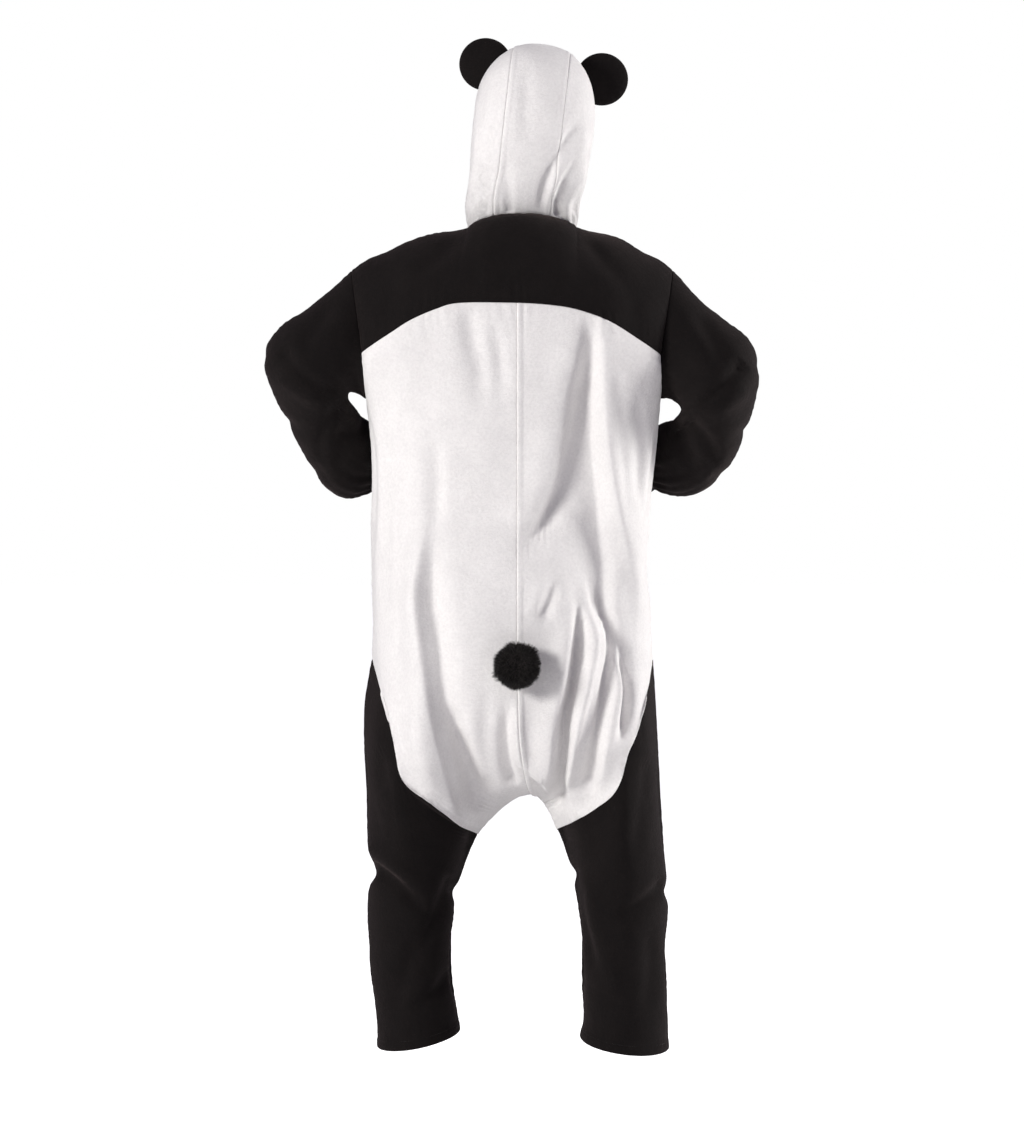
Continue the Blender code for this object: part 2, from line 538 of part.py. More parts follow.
def make_garment(materials):
    """The body, sleeves, cuffs and legs, on one surface. Returns its front and back grids."""
    white, black, rib = materials["white"], materials["black"], materials["rib"]
    surface = Surface()
    back = surface.add(body_rows(1))
    front = surface.add(body_rows(-1))
    armpit = YOKE_ROWS + ARMPIT_ROWS
    hip = armpit + SIDE_ROWS
    middle = COLUMNS // 2
    front[armpit : hip + 1, [0, -1]] = back[armpit : hip + 1, [0, -1]]
    front[-1] = back[-1]
    shoulder = NECK_SHOULDER_COLUMNS + 1
    front[0, :shoulder] = back[0, :shoulder]
    front[0, -shoulder:] = back[0, -shoulder:]
    surface.skin(back)
    surface.skin(front, flip=True)

    tubes = {}
    limbs = (("left", 0, LEFT_SLEEVE, LEFT_LEG), ("right", -1, RIGHT_SLEEVE, RIGHT_LEG))
    for name, edge, sleeve, leg in limbs:
        flip = name == "left"
        seam = np.concatenate([back[armpit::-1, edge], front[1:armpit, edge]])
        angle = 2 * math.pi * np.arange(len(seam)) / len(seam)
        rings = tube_rings(sleeve, SLEEVE_ROWS, np.array(surface.points)[seam], angle)
        tubes["sleeve_" + name] = np.vstack([seam, surface.add(rings)])
        seam = np.concatenate([back[hip:, edge], front[-2:hip:-1, edge]])
        angle = math.pi - 2 * math.pi * np.arange(len(seam)) / len(seam)
        rings = tube_rings(leg, LEG_ROWS, np.array(surface.points)[seam], angle)
        tubes["leg_" + name] = np.vstack([seam, surface.add(rings)])
        for part, turned in (("sleeve_", flip), ("leg_", not flip)):
            closed = np.hstack([tubes[part + name], tubes[part + name][:, :1]])
            surface.skin(closed, flip=turned)
    around_neck = np.concatenate([back[0], front[0]])
    surface.fold(FOLDS, around_neck)
    points, facing = np.array(surface.points), surface.normals()

    def patch(name, grid, material, **how):
        cloth_patch(name, grid, points, facing, material, **how)

    patch("back_yoke", back[: YOKE_ROWS + 1], black)
    patch("front_yoke_left", front[: YOKE_ROWS + 1, : middle + 1], black)
    patch("front_yoke_right", front[: YOKE_ROWS + 1, middle:], black)
    patch("back_left", back[YOKE_ROWS:, : middle + 1], white)
    patch("back_right", back[YOKE_ROWS:, middle:], white)
    patch("front_left", front[YOKE_ROWS:, : middle + 1], white)
    patch("front_right", front[YOKE_ROWS:, middle:], white)
    for limb, half in (("sleeve", armpit), ("leg", SEAT_ROWS)):
        for name in ("left", "right"):
            tube = tubes[f"{limb}_{name}"]
            patch(f"{limb}_back_{name}", tube[:, : half + 1], black)
            patch(f"{limb}_front_{name}", np.hstack([tube[:, half:], tube[:, :1]]), black)
    strip = front[:, middle - 1 : middle + 2]
    over = LIFT + CLOTH
    patch("placket_yoke", strip[: YOKE_ROWS + 1], black, outward=over)
    patch("placket_belly", strip[YOKE_ROWS : PLACKET_BOTTOM_ROW + 1], white, outward=over)
    for name, table in (("left", LEFT_CUFF), ("right", RIGHT_CUFF)):
        make_cuff("cuff_" + name, table, rib)
    return points, facing, back, front


def make_cuff(name, table, material):
    """The knitted cuff that gathers the end of a sleeve."""
    around = 2 * (YOKE_ROWS + ARMPIT_ROWS)
    angle = 2 * math.pi * np.arange(around) / around
    rings = np.array([ring_points(Ring(*row), angle) for row in spline(table, CUFF_ROWS)])
    toward = rings.mean(axis=1)[:, None] - rings
    inner = rings + toward / np.linalg.norm(toward, axis=2)[:, :, None] * CLOTH
    wall(name, rings, inner, material, wrap=True)


def tilted(points):
    """The hood leans to the wearer's right, more and more from the neck up to HOOD_TILT."""
    angle = HOOD_TILT * smoothstep((points[..., 2] - HOOD_TILT_FROM) / HOOD_TILT_HEIGHT)
    cos, sin = np.cos(angle), np.sin(angle)
    x, y, z = points[..., 0], points[..., 1], points[..., 2]
    return np.stack([x * cos - z * sin, y, x * sin + z * cos], axis=-1)


def split_chords(line, parts):
    """Every chord of a line of points cut into equal parts."""
    share = np.arange(parts)[:, None] / parts
    cut = [a + (b - a) * share for a, b in zip(line, line[1:])]
    return np.vstack(cut + [line[-1:]])


def hood_arch(middle, half_width, foot):
    """Half an arch of the hood, finely divided: a dome down from the middle, then a side."""
    rise = np.array(middle) - foot[1:]
    length = np.linalg.norm(rise)
    dome = min(HOOD_DOME, length * HOOD_DOME_MOST)
    angle = np.linspace(0, math.pi / 2, ARCH_SAMPLES)
    below = np.linspace(0, 1, ARCH_SAMPLES)[1:]
    reach = foot[0] - NECK_X
    side = reach + (half_width - reach) * (1 - below**HOOD_CHEEK)
    x = np.concatenate([half_width * np.sin(angle) ** HOOD_ROUNDNESS, side])
    drop = dome * (1 - np.maximum(np.cos(angle), 0) ** HOOD_ROUNDNESS)
    drop = np.concatenate([drop, dome + (length - dome) * below])
    share = 1 - drop / length
    return np.stack([x, foot[1] + rise[0] * share, foot[2] + rise[1] * share], axis=1)


def along_arch(arch):
    """The arch cut at equal steps across half the gusset, then at equal steps down the side."""
    run = np.concatenate([[0], np.cumsum(np.linalg.norm(np.diff(arch, axis=0), axis=1))])
    widest = arch[:, 0].argmax() + 1
    seam = np.interp(HOOD_GUSSET_HALF_WIDTH, arch[:widest, 0], run[:widest])
    inner = np.linspace(0, seam, HOOD_COLUMNS // 2 - HOOD_SIDE_COLUMNS + 1)
    down = np.linspace(0, 1, HOOD_SIDE_COLUMNS + 1) ** HOOD_SIDE_COLUMNS_WIDER
    outer = seam + (run[-1] - seam) * down
    stations = np.concatenate([inner, outer[1:]])
    return np.stack([np.interp(stations, run, arch[:, k]) for k in range(3)], axis=1)


def hood_rows():
    """Arches from one side of the neck over the head to the other, from the face to the nape."""
    front_neck = neckline(-1)[: len(neckline(-1)) // 2]
    base = np.delete(split_chords(front_neck[::-1], HOOD_ROWS_PER_NECK_STEP), -2, axis=0)
    count = len(base) - 1
    rows = []
    for number, (y, z, half_width) in enumerate(spline(HOOD, count)[:-1]):
        half = along_arch(hood_arch((y, z), half_width, base[number]))
        left = half[::-1] + (NECK_X, 0, 0)
        right = half[1:] * (-1, 1, 1) + (NECK_X, 0, 0)
        rows.append(np.vstack([left, right]))
    rows.append(split_chords(neckline(1), HOOD_COLUMNS // (len(neckline(1)) - 1)))
    return tilted(np.array(rows))


def make_hood(materials):
    """Two side panels with a gusset between them. Returns the hood's grid of points and normals."""
    surface = Surface()
    grid = surface.add(hood_rows())
    surface.skin(grid)
    points, facing = np.array(surface.points), surface.normals()
    for edge in (grid[-1], grid[:, 0], grid[:, -1]):
        points[edge] += (0, 0, SEAM_GAP)
    left, right = HOOD_SIDE_COLUMNS, HOOD_COLUMNS - HOOD_SIDE_COLUMNS
    white = materials["white"]
    cloth_patch("hood_left", grid[:, : left + 1], points, facing, white)
    cloth_patch("hood_gusset", grid[:, left : right + 1], points, facing, white)
    cloth_patch("hood_right", grid[:, right:], points, facing, white)
    return points[grid], facing[grid]


def make_head_cutter(points, facing):
    """The space inside the hood, a little larger, that the ears are cut back to."""
    outer = points + facing * LIFT
    mesh = bmesh.new()
    verts = [[mesh.verts.new(p) for p in row] for row in outer]
    rows, columns = outer.shape[:2]
    for i in range(rows - 1):
        for j in range(columns - 1):
            add_quad(mesh, verts, points, i, j)
    centre = mesh.verts.new(HEAD_CENTRE)
    rim = verts[0] + [row[-1] for row in verts[1:]] + verts[-1][-2::-1]
    rim += [row[0] for row in verts[-2::-1]]
    for a, b in zip(rim, rim[1:]):
        mesh.faces.new((a, b, centre))
    bmesh.ops.recalc_face_normals(mesh, faces=mesh.faces)
    data = bpy.data.meshes.new("inside_of_hood")
    mesh.to_mesh(data)
    mesh.free()
    cutter = bpy.data.objects.new("inside_of_hood", data)
    cutter.hide_render = True
    cutter.display_type = "WIRE"
    CUTTERS.objects.link(cutter)
    return cutter


def make_ear(name, centre, cutter, material):
    """A padded round ear, cut back to the hood that it is sewn on."""
    bpy.ops.mesh.primitive_uv_sphere_add(segments=24, ring_count=10, radius=1)
    ear = bpy.context.object
    ear.name = name
    size = Matrix.Diagonal((EAR_RADIUS, EAR_RADIUS, EAR_HALF_THICKNESS, 1))
    ear.data.transform(Matrix.Rotation(math.pi / 2, 4, "X") @ size)
    ear.location = centre
    ear.data.materials.append(material)
    ear.data.shade_smooth()
    cut = ear.modifiers.new("hood", "BOOLEAN")
    cut.operation = "DIFFERENCE"
    cut.object = cutter
    for collection in list(ear.users_collection):
        collection.objects.unlink(ear)
    COSTUME.objects.link(ear)


def point_on(grid, points, facing, x, z):
    """The point of a grid at x and z, and its normal, from the four nearest points."""
    flat = grid.ravel()
    gap = np.linalg.norm(points[flat][:, [0, 2]] - (x, z), axis=1)
    near = flat[np.argsort(gap)[:4]]
    weight = 1 / (np.sort(gap)[:4] + 1e-4)
    weight /= weight.sum()
    normal = weight @ facing[near]
    return weight @ points[near], normal / np.linalg.norm(normal)


def between(points, parts):
    """A grid of points divided further, along straight lines."""
    for _ in range(2):
        rows = len(points)
        place = np.linspace(0, rows - 1, (rows - 1) * parts + 1)
        first = np.minimum(place.astype(int), rows - 2)
        share = (place - first)[:, None, None]
        points = points[first] * (1 - share) + points[first + 1] * share
        points = points.transpose(1, 0, 2)
    return points


def make_tail(points, facing, back, material):
    """A round plush tail: a core with locks that stand out all round, flatter on the cloth's side."""
    seat, out = point_on(back, points, facing, *TAIL_AT)
    cloth = between(points[back[YOKE_ROWS:]], 4).reshape(-1, 3)
    under = cloth[np.linalg.norm(cloth - seat, axis=1) < TAIL_CORE_RADIUS]
    stands = ((under - seat) @ out).max()
    centre = seat + out * (TAIL_HEIGHT + LIFT + stands)
    turn = math.pi * (3 - math.sqrt(5))
    count = TAIL_LOCKS // 2 + 2
    z = 1 - 2 * (np.arange(count) + 0.5) / count
    across = np.sqrt(1 - z**2)
    angle = turn * np.arange(count)
    spots = np.stack([across * np.cos(angle), across * np.sin(angle), z], axis=1)
    mesh = bmesh.new()
    for spot in spots:
        mesh.verts.new(spot * TAIL_CORE_RADIUS)
    bmesh.ops.convex_hull(mesh, input=mesh.verts)
    locks = bmesh.ops.poke(mesh, faces=mesh.faces)["verts"]
    chance = np.random.default_rng(7)
    for tip in locks:
        direction = tip.co.normalized()
        reach = TAIL_RADIUS * chance.uniform(TAIL_SHORTEST_LOCK, 1.0)
        inward = -direction.dot(Vector(out))
        if inward > 0:
            reach = min(reach, TAIL_HEIGHT / inward)
        tip.co = direction * max(reach, TAIL_CORE_RADIUS)
    bmesh.ops.recalc_face_normals(mesh, faces=mesh.faces)
    tail = add_object("tail_pompom", mesh, material, smooth=False)
    tail.location = Vector(centre)


def make_buttons(points, facing, front, material):
    middle = COLUMNS // 2
    strip = front[: PLACKET_BOTTOM_ROW + 1, middle - 1 : middle + 2]
    cloth = between(points[strip], 8).reshape(-1, 3)
    for number, height in enumerate(BUTTON_HEIGHTS, 1):
        near = np.abs(points[strip[:, 1], 2] - height).argsort()[:2]
        out = facing[strip[near, 1]].mean(axis=0)
        out /= np.linalg.norm(out)
        line = points[strip[:, 1]]
        place = np.array([np.interp(-height, -line[:, 2], line[:, k]) for k in range(3)])
        under = cloth[np.linalg.norm(cloth - place, axis=1) < BUTTON_RADIUS * BUTTON_REACH]
        stands = ((under - place) @ out).max()
        bpy.ops.mesh.primitive_cylinder_add(
            vertices=16, radius=BUTTON_RADIUS, depth=BUTTON_THICKNESS
        )
        button = bpy.context.object
        button.name = f"button_{number}"
        rim = button.modifiers.new("rounded rim", "BEVEL")
        rim.width = BUTTON_THICKNESS / 4
        rim.segments = 1
        button.data.materials.append(material)
        above = stands + 2 * LIFT + CLOTH + BUTTON_THICKNESS / 2
        button.location = Vector(place + out * above)
        button.rotation_mode = "QUATERNION"
        button.rotation_quaternion = Vector(out).to_track_quat("Z", "Y")
        for collection in list(button.users_collection):
            collection.objects.unlink(button)
        COSTUME.objects.link(button)


clear_scene()
COSTUME = bpy.data.collections.new("panda costume")
CUTTERS = bpy.data.collections.new("cutters")
bpy.context.scene.collection.children.link(COSTUME)
bpy.context.scene.collection.children.link(CUTTERS)
MATERIALS = {
    "white": make_material("white fleece", WHITE_FLEECE),
    "black": make_material("black fleece", BLACK_FLEECE),
    "rib": make_material("black rib", BLACK_RIB),
    "plush": make_material("black plush", BLACK_PLUSH),
    "button": make_material("button plastic", BUTTON_PLASTIC),
}
POINTS, FACING, BACK, FRONT = make_garment(MATERIALS)
HOOD_POINTS, HOOD_FACING = make_hood(MATERIALS)
HEAD = make_head_cutter(HOOD_POINTS, HOOD_FACING)
for SIDE, CENTRE in EAR_CENTRES.items():
    make_ear("ear_" + SIDE, CENTRE, HEAD, MATERIALS["black"])
make_tail(POINTS, FACING, BACK, MATERIALS["plush"])
make_buttons(POINTS, FACING, FRONT, MATERIALS["button"])
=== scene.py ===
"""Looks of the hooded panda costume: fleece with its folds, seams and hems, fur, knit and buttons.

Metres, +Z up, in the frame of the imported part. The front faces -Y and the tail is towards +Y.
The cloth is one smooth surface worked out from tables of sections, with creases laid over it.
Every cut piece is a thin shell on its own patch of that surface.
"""

import math
from collections import namedtuple

import bmesh
import bpy
import numpy as np
from mathutils import Matrix, Vector, noise


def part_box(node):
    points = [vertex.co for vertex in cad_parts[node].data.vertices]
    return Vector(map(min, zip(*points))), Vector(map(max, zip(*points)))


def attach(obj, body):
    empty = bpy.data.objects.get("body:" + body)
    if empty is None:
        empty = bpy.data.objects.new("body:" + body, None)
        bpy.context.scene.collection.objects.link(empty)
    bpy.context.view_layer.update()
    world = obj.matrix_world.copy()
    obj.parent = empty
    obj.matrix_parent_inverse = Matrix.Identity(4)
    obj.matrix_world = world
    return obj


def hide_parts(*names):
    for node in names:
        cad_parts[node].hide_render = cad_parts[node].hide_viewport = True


# Cloth and seams
CLOTH = 0.002
PLACKET_LIFT = 0.0024
SEAM_SINK = 0.0012
SEAM_ROLL = 0.0036
PUCKER = 0.0005
PUCKER_REACH = 0.011
ALLOWANCE_RISE = 0.0015
ALLOWANCE_WIDTH = 0.0065
HEM_HEIGHT = 0.017
HEM_RISE = 0.0012
HEM_EDGE = 0.0022
HEM_STITCH_BELOW = 0.0015
HEM_STITCH_SINK = 0.0010
HEM_STITCH_WIDTH = 0.0016
TURN_ROLL = 0.0022
TURN_SINK = 0.0015
EDGE_STEPS = (0.15, 0.32, 0.52, 0.75)
GATHERS = 17
GATHER_HEIGHT = 0.0042
GATHER_REACH = 0.034
CUFF_RIBS = 46
CUFF_RIB_HEIGHT = 0.0009
CUFF_RIB_COLUMNS = 8
CUFF_ROWS = 14
CUFF_LENGTH = 0.045
CUFF_SWELL = 0.0012
CUFF_TURN = 0.0018
STITCH_STEP = 0.0034
STITCH_LENGTH = 0.0026
STITCH_RADIUS = 0.00035
THREAD_RADIUS = 0.0003
PILE = 0.0010
KNIT_PITCH = 0.0026
RIB_ROW_PITCH = 0.0017
BUTTON_RADIUS = 0.009
BUTTON_THICKNESS = 0.0036
BUTTON_HOLE = 0.0009
BUTTON_HOLES_APART = 0.0046

# How finely the surface is divided
COLUMNS = 26
COLUMN_PARTS = 7
YOKE_ROWS = 48
ARMPIT_ROWS = 24
SIDE_ROWS = 90
SEAT_ROWS = 50
ARMPIT_EASE = 18
HIP_EASE = 16
EASE_ROUNDS = 120
SLEEVE_ROWS = 110
LEG_ROWS = 140
SHARP_ANGLE = 60
ROUNDNESS = 0.85
MIDDLE_COLUMNS_CLOSER = 1.6
ANGLE_SAMPLES = 200
SEAT_MIDDLE_ROUND = 1.8
CURVE_SAMPLES = 160

# Neck and shoulders
NECK_X = -0.0165
NECK_HALF_WIDTH = 0.0905
NECK_SIDE_Z = 0.004
NECK_BACK = (0.060, 0.022)
NECK_FRONT = (-0.092, -0.052)
NECK_SHOULDER_COLUMNS = 8
NECK_DROP_ROUND = 1.4
SHOULDER_ROUND = 0.91
ARMHOLE_DEPTH = 0.076

# Front opening
PLACKET_HALF_WIDTH = 0.018
PLACKET_STITCH_IN = 0.004

# Hood
HOOD_TILT = math.radians(6.3)
HOOD_TILT_FROM = 0.030
HOOD_TILT_HEIGHT = 0.060
HOOD_GUSSET_HALF_WIDTH = 0.048
HOOD_DOME = 0.125
HOOD_DOME_MOST = 0.8
HOOD_ROUNDNESS = 0.90
HOOD_CHEEK = 1.8
HOOD_GUSSET_COLUMNS = 4
HOOD_SIDE_COLUMNS = 6
HOOD_SIDE_COLUMNS_WIDER = 1.25
HOOD_ROWS_PER_NECK_STEP = 4
HOOD_ROW_PARTS = 6
EAR_RADIUS = 0.0445
EAR_HALF_THICKNESS = 0.012
EAR_FOLD_HEIGHT = 0.0007
EAR_SEAT = 0.001

# The tail
FUR_CORE = 0.029
FUR_CORE_ROWS = 24
FUR_RADIUS = 0.0405
FUR_FLAT = 0.0313
FUR_HAIRS = 7200
FUR_TUFTS = 420
FUR_CLUMP = 0.45
FUR_HAIR = 0.00042
FUR_ROOT_SPREAD = 0.02
FUR_TIP_SPREAD = 0.09
FUR_SAG = 0.0012
FUR_BEND = 0.0022

# The shoulder line, from the sleeve seam to the neck
Shoulder = namedtuple("Shoulder", "x z")
SHOULDER = (
    Shoulder(0.270, -0.069),
    Shoulder(0.245, -0.050),
    Shoulder(0.213, -0.036),
    Shoulder(0.181, -0.019),
    Shoulder(0.149, -0.008),
    Shoulder(0.113, -0.002),
    Shoulder(NECK_HALF_WIDTH, NECK_SIDE_Z),
)

# The lower edge of the black yoke, from the left sleeve seam to the right one
Arch = namedtuple("Arch", "x z")
YOKE_ARCH = (
    Arch(0.249, -0.210),
    Arch(0.199, -0.178),
    Arch(0.166, -0.158),
    Arch(0.126, -0.141),
    Arch(0.086, -0.131),
    Arch(-0.008, -0.131),
    Arch(-0.069, -0.135),
    Arch(-0.109, -0.142),
    Arch(-0.149, -0.156),
    Arch(-0.184, -0.174),
    Arch(-0.247, -0.214),
)

# Sections of the body from the armpits to the hips: side edges and depth each way
Section = namedtuple("Section", "z left right middle back front")
BODY = (
    Section(-0.285, 0.245, -0.251, -0.008, 0.128, 0.132),
    Section(-0.371, 0.238, -0.244, -0.008, 0.124, 0.138),
    Section(-0.455, 0.236, -0.234, -0.008, 0.127, 0.143),
    Section(-0.556, 0.234, -0.225, -0.008, 0.140, 0.146),
    Section(-0.640, 0.233, -0.231, -0.008, 0.154, 0.142),
    Section(-0.721, 0.237, -0.237, -0.008, 0.162, 0.134),
)

# The seat from the hips to the crotch, between the two leg seams
Seat = namedtuple(
    "Seat",
    "left_x left_z right_x right_z seam_back seam_front middle_x middle_z back front",
)
SEAT = (
    Seat(0.237, -0.721, -0.237, -0.721, 0.000, 0.000, -0.008, -0.721, 0.162, 0.134),
    Seat(0.215, -0.779, -0.223, -0.779, 0.086, 0.076, -0.009, -0.764, 0.163, 0.129),
    Seat(0.200, -0.827, -0.209, -0.831, 0.116, 0.096, -0.010, -0.804, 0.158, 0.120),
    Seat(0.191, -0.871, -0.191, -0.871, 0.130, 0.104, -0.012, -0.842, 0.146, 0.107),
    Seat(0.183, -0.909, -0.180, -0.911, 0.134, 0.106, -0.016, -0.877, 0.126, 0.091),
    Seat(0.161, -0.939, -0.164, -0.940, 0.129, 0.102, -0.020, -0.907, 0.100, 0.072),
    Seat(0.125, -0.968, -0.134, -0.964, 0.110, 0.090, -0.025, -0.931, 0.070, 0.050),
    Seat(0.089, -0.995, -0.103, -0.988, 0.074, 0.062, -0.030, -0.946, 0.036, 0.026),
    Seat(0.056, -1.019, -0.074, -1.011, 0.000, 0.000, -0.034, -0.951, 0.000, 0.000),
)

# Rings of a sleeve or a leg: outer and inner edge, how far back the middle lies, half depth,
# what the depth adds sideways and downwards, and how much of the seam's own shape is left
Ring = namedtuple("Ring", "outer_x outer_z inner_x inner_z y depth lean drop keep")
LEFT_SLEEVE = (
    Ring(0.270, -0.069, 0.245, -0.285, 0.000, 0.078, 0.000, 0, 1.00),
    Ring(0.302, -0.099, 0.257, -0.277, 0.004, 0.086, 0.000, 0, 0.45),
    Ring(0.347, -0.136, 0.266, -0.274, 0.012, 0.088, 0.000, 0, 0.10),
    Ring(0.389, -0.166, 0.272, -0.274, 0.018, 0.086, 0.000, 0, 0.00),
    Ring(0.417, -0.211, 0.275, -0.279, 0.018, 0.084, 0.000, 0, 0.00),
    Ring(0.407, -0.262, 0.274, -0.287, 0.006, 0.084, -0.004, 0, 0.00),
    Ring(0.383, -0.318, 0.269, -0.296, -0.018, 0.082, -0.008, 0, 0.00),
    Ring(0.355, -0.378, 0.262, -0.305, -0.046, 0.076, -0.010, 0, 0.00),
    Ring(0.321, -0.431, 0.253, -0.314, -0.076, 0.068, -0.012, 0, 0.00),
    Ring(0.281, -0.453, 0.241, -0.325, -0.106, 0.058, -0.014, 0, 0.00),
    Ring(0.238, -0.438, 0.222, -0.346, -0.134, 0.043, -0.014, 0, 0.00),
)
RIGHT_SLEEVE = (
    Ring(-0.270, -0.069, -0.251, -0.285, 0.000, 0.078, 0.000, 0, 1.00),
    Ring(-0.319, -0.121, -0.264, -0.285, 0.004, 0.086, 0.000, 0, 0.45),
    Ring(-0.358, -0.153, -0.273, -0.290, 0.012, 0.088, 0.000, 0, 0.10),
    Ring(-0.396, -0.184, -0.280, -0.296, 0.018, 0.086, 0.000, 0, 0.00),
    Ring(-0.416, -0.229, -0.283, -0.303, 0.018, 0.084, 0.000, 0, 0.00),
    Ring(-0.413, -0.274, -0.280, -0.310, 0.006, 0.084, 0.004, 0, 0.00),
    Ring(-0.399, -0.332, -0.273, -0.316, -0.018, 0.082, 0.008, 0, 0.00),
    Ring(-0.374, -0.390, -0.265, -0.320, -0.046, 0.076, 0.010, 0, 0.00),
    Ring(-0.338, -0.432, -0.257, -0.324, -0.076, 0.068, 0.012, 0, 0.00),
    Ring(-0.296, -0.450, -0.246, -0.331, -0.106, 0.058, 0.014, 0, 0.00),
    Ring(-0.250, -0.437, -0.228, -0.347, -0.134, 0.043, 0.014, 0, 0.00),
)
LEFT_CUFF = (
    Ring(0.2365, -0.4360, 0.2215, -0.3490, -0.1355, 0.041, -0.014, 0, 0.00),
    Ring(0.221, -0.445, 0.203, -0.368, -0.152, 0.036, -0.014, 0, 0.00),
    Ring(0.204, -0.458, 0.184, -0.384, -0.168, 0.037, -0.014, 0, 0.00),
)
RIGHT_CUFF = (
    Ring(-0.2485, -0.4350, -0.2275, -0.3500, -0.1355, 0.041, 0.014, 0, 0.00),
    Ring(-0.232, -0.445, -0.210, -0.368, -0.152, 0.036, 0.014, 0, 0.00),
    Ring(-0.214, -0.458, -0.191, -0.384, -0.168, 0.037, 0.014, 0, 0.00),
)
LEFT_LEG = (
    Ring(0.237, -0.721, 0.056, -1.019, 0.013, 0.118, 0, 0.000, 1.00),
    Ring(0.249, -0.792, 0.062, -1.032, 0.013, 0.118, 0, 0.000, 0.90),
    Ring(0.250, -0.868, 0.071, -1.053, 0.013, 0.116, 0, 0.000, 0.72),
    Ring(0.247, -0.944, 0.081, -1.076, 0.012, 0.111, 0, 0.000, 0.48),
    Ring(0.246, -1.019, 0.089, -1.098, 0.011, 0.105, 0, 0.000, 0.26),
    Ring(0.234, -1.066, 0.095, -1.122, 0.010, 0.100, 0, 0.000, 0.10),
    Ring(0.241, -1.118, 0.098, -1.157, 0.008, 0.096, 0, 0.000, 0.00),
    Ring(0.242, -1.182, 0.101, -1.206, 0.006, 0.092, 0, 0.002, 0.00),
    Ring(0.239, -1.250, 0.100, -1.259, 0.004, 0.088, 0, 0.004, 0.00),
    Ring(0.229, -1.317, 0.093, -1.309, 0.002, 0.085, 0, 0.008, 0.00),
    Ring(0.226, -1.374, 0.088, -1.347, 0.000, 0.087, 0, 0.003, 0.00),
)
RIGHT_LEG = (
    Ring(-0.237, -0.721, -0.074, -1.011, 0.013, 0.118, 0, 0.000, 1.00),
    Ring(-0.243, -0.792, -0.081, -1.027, 0.013, 0.118, 0, 0.000, 0.90),
    Ring(-0.247, -0.872, -0.089, -1.049, 0.013, 0.116, 0, 0.000, 0.72),
    Ring(-0.251, -0.950, -0.098, -1.075, 0.012, 0.111, 0, 0.000, 0.48),
    Ring(-0.256, -1.024, -0.104, -1.103, 0.011, 0.105, 0, 0.000, 0.26),
    Ring(-0.260, -1.086, -0.110, -1.135, 0.010, 0.100, 0, 0.000, 0.10),
    Ring(-0.262, -1.143, -0.114, -1.174, 0.008, 0.096, 0, 0.000, 0.00),
    Ring(-0.259, -1.204, -0.116, -1.221, 0.006, 0.092, 0, 0.002, 0.00),
    Ring(-0.262, -1.268, -0.117, -1.273, 0.004, 0.088, 0, 0.005, 0.00),
    Ring(-0.263, -1.328, -0.120, -1.322, 0.002, 0.085, 0, 0.010, 0.00),
    Ring(-0.264, -1.376, -0.115, -1.360, 0.000, 0.087, 0, 0.006, 0.00),
)

# The hood's middle line from the forehead over the crown to the nape, and its half width there
Crown = namedtuple("Crown", "y z half_width")
HOOD = (
    Crown(-0.096, 0.262, 0.088),
    Crown(-0.064, 0.296, 0.095),
    Crown(-0.012, 0.314, 0.100),
    Crown(0.044, 0.309, 0.101),
    Crown(0.090, 0.279, 0.101),
    Crown(0.116, 0.229, 0.100),
    Crown(0.121, 0.174, 0.099),
    Crown(0.112, 0.116, 0.096),
    Crown(0.090, 0.064, 0.092),
    Crown(NECK_BACK[0], NECK_BACK[1], NECK_HALF_WIDTH),
)

# A crease is a line that is drawn downwards over one part as it is seen from one side, as x and z
# (or as y and z from the left or right). It stands out by height or, below zero, falls in, and
# it is soft over a width on its left and another on its right. fade is how much of its length
# runs out at its start and at its end.
Crease = namedtuple("Crease", "part view height left right fade path")


def crease_table(part, view, rows):
    """Creases of one part as it is seen from one side, from rows of height, left, right, fade and points."""
    return tuple(Crease(part, view, *row[:4], row[4:]) for row in rows)


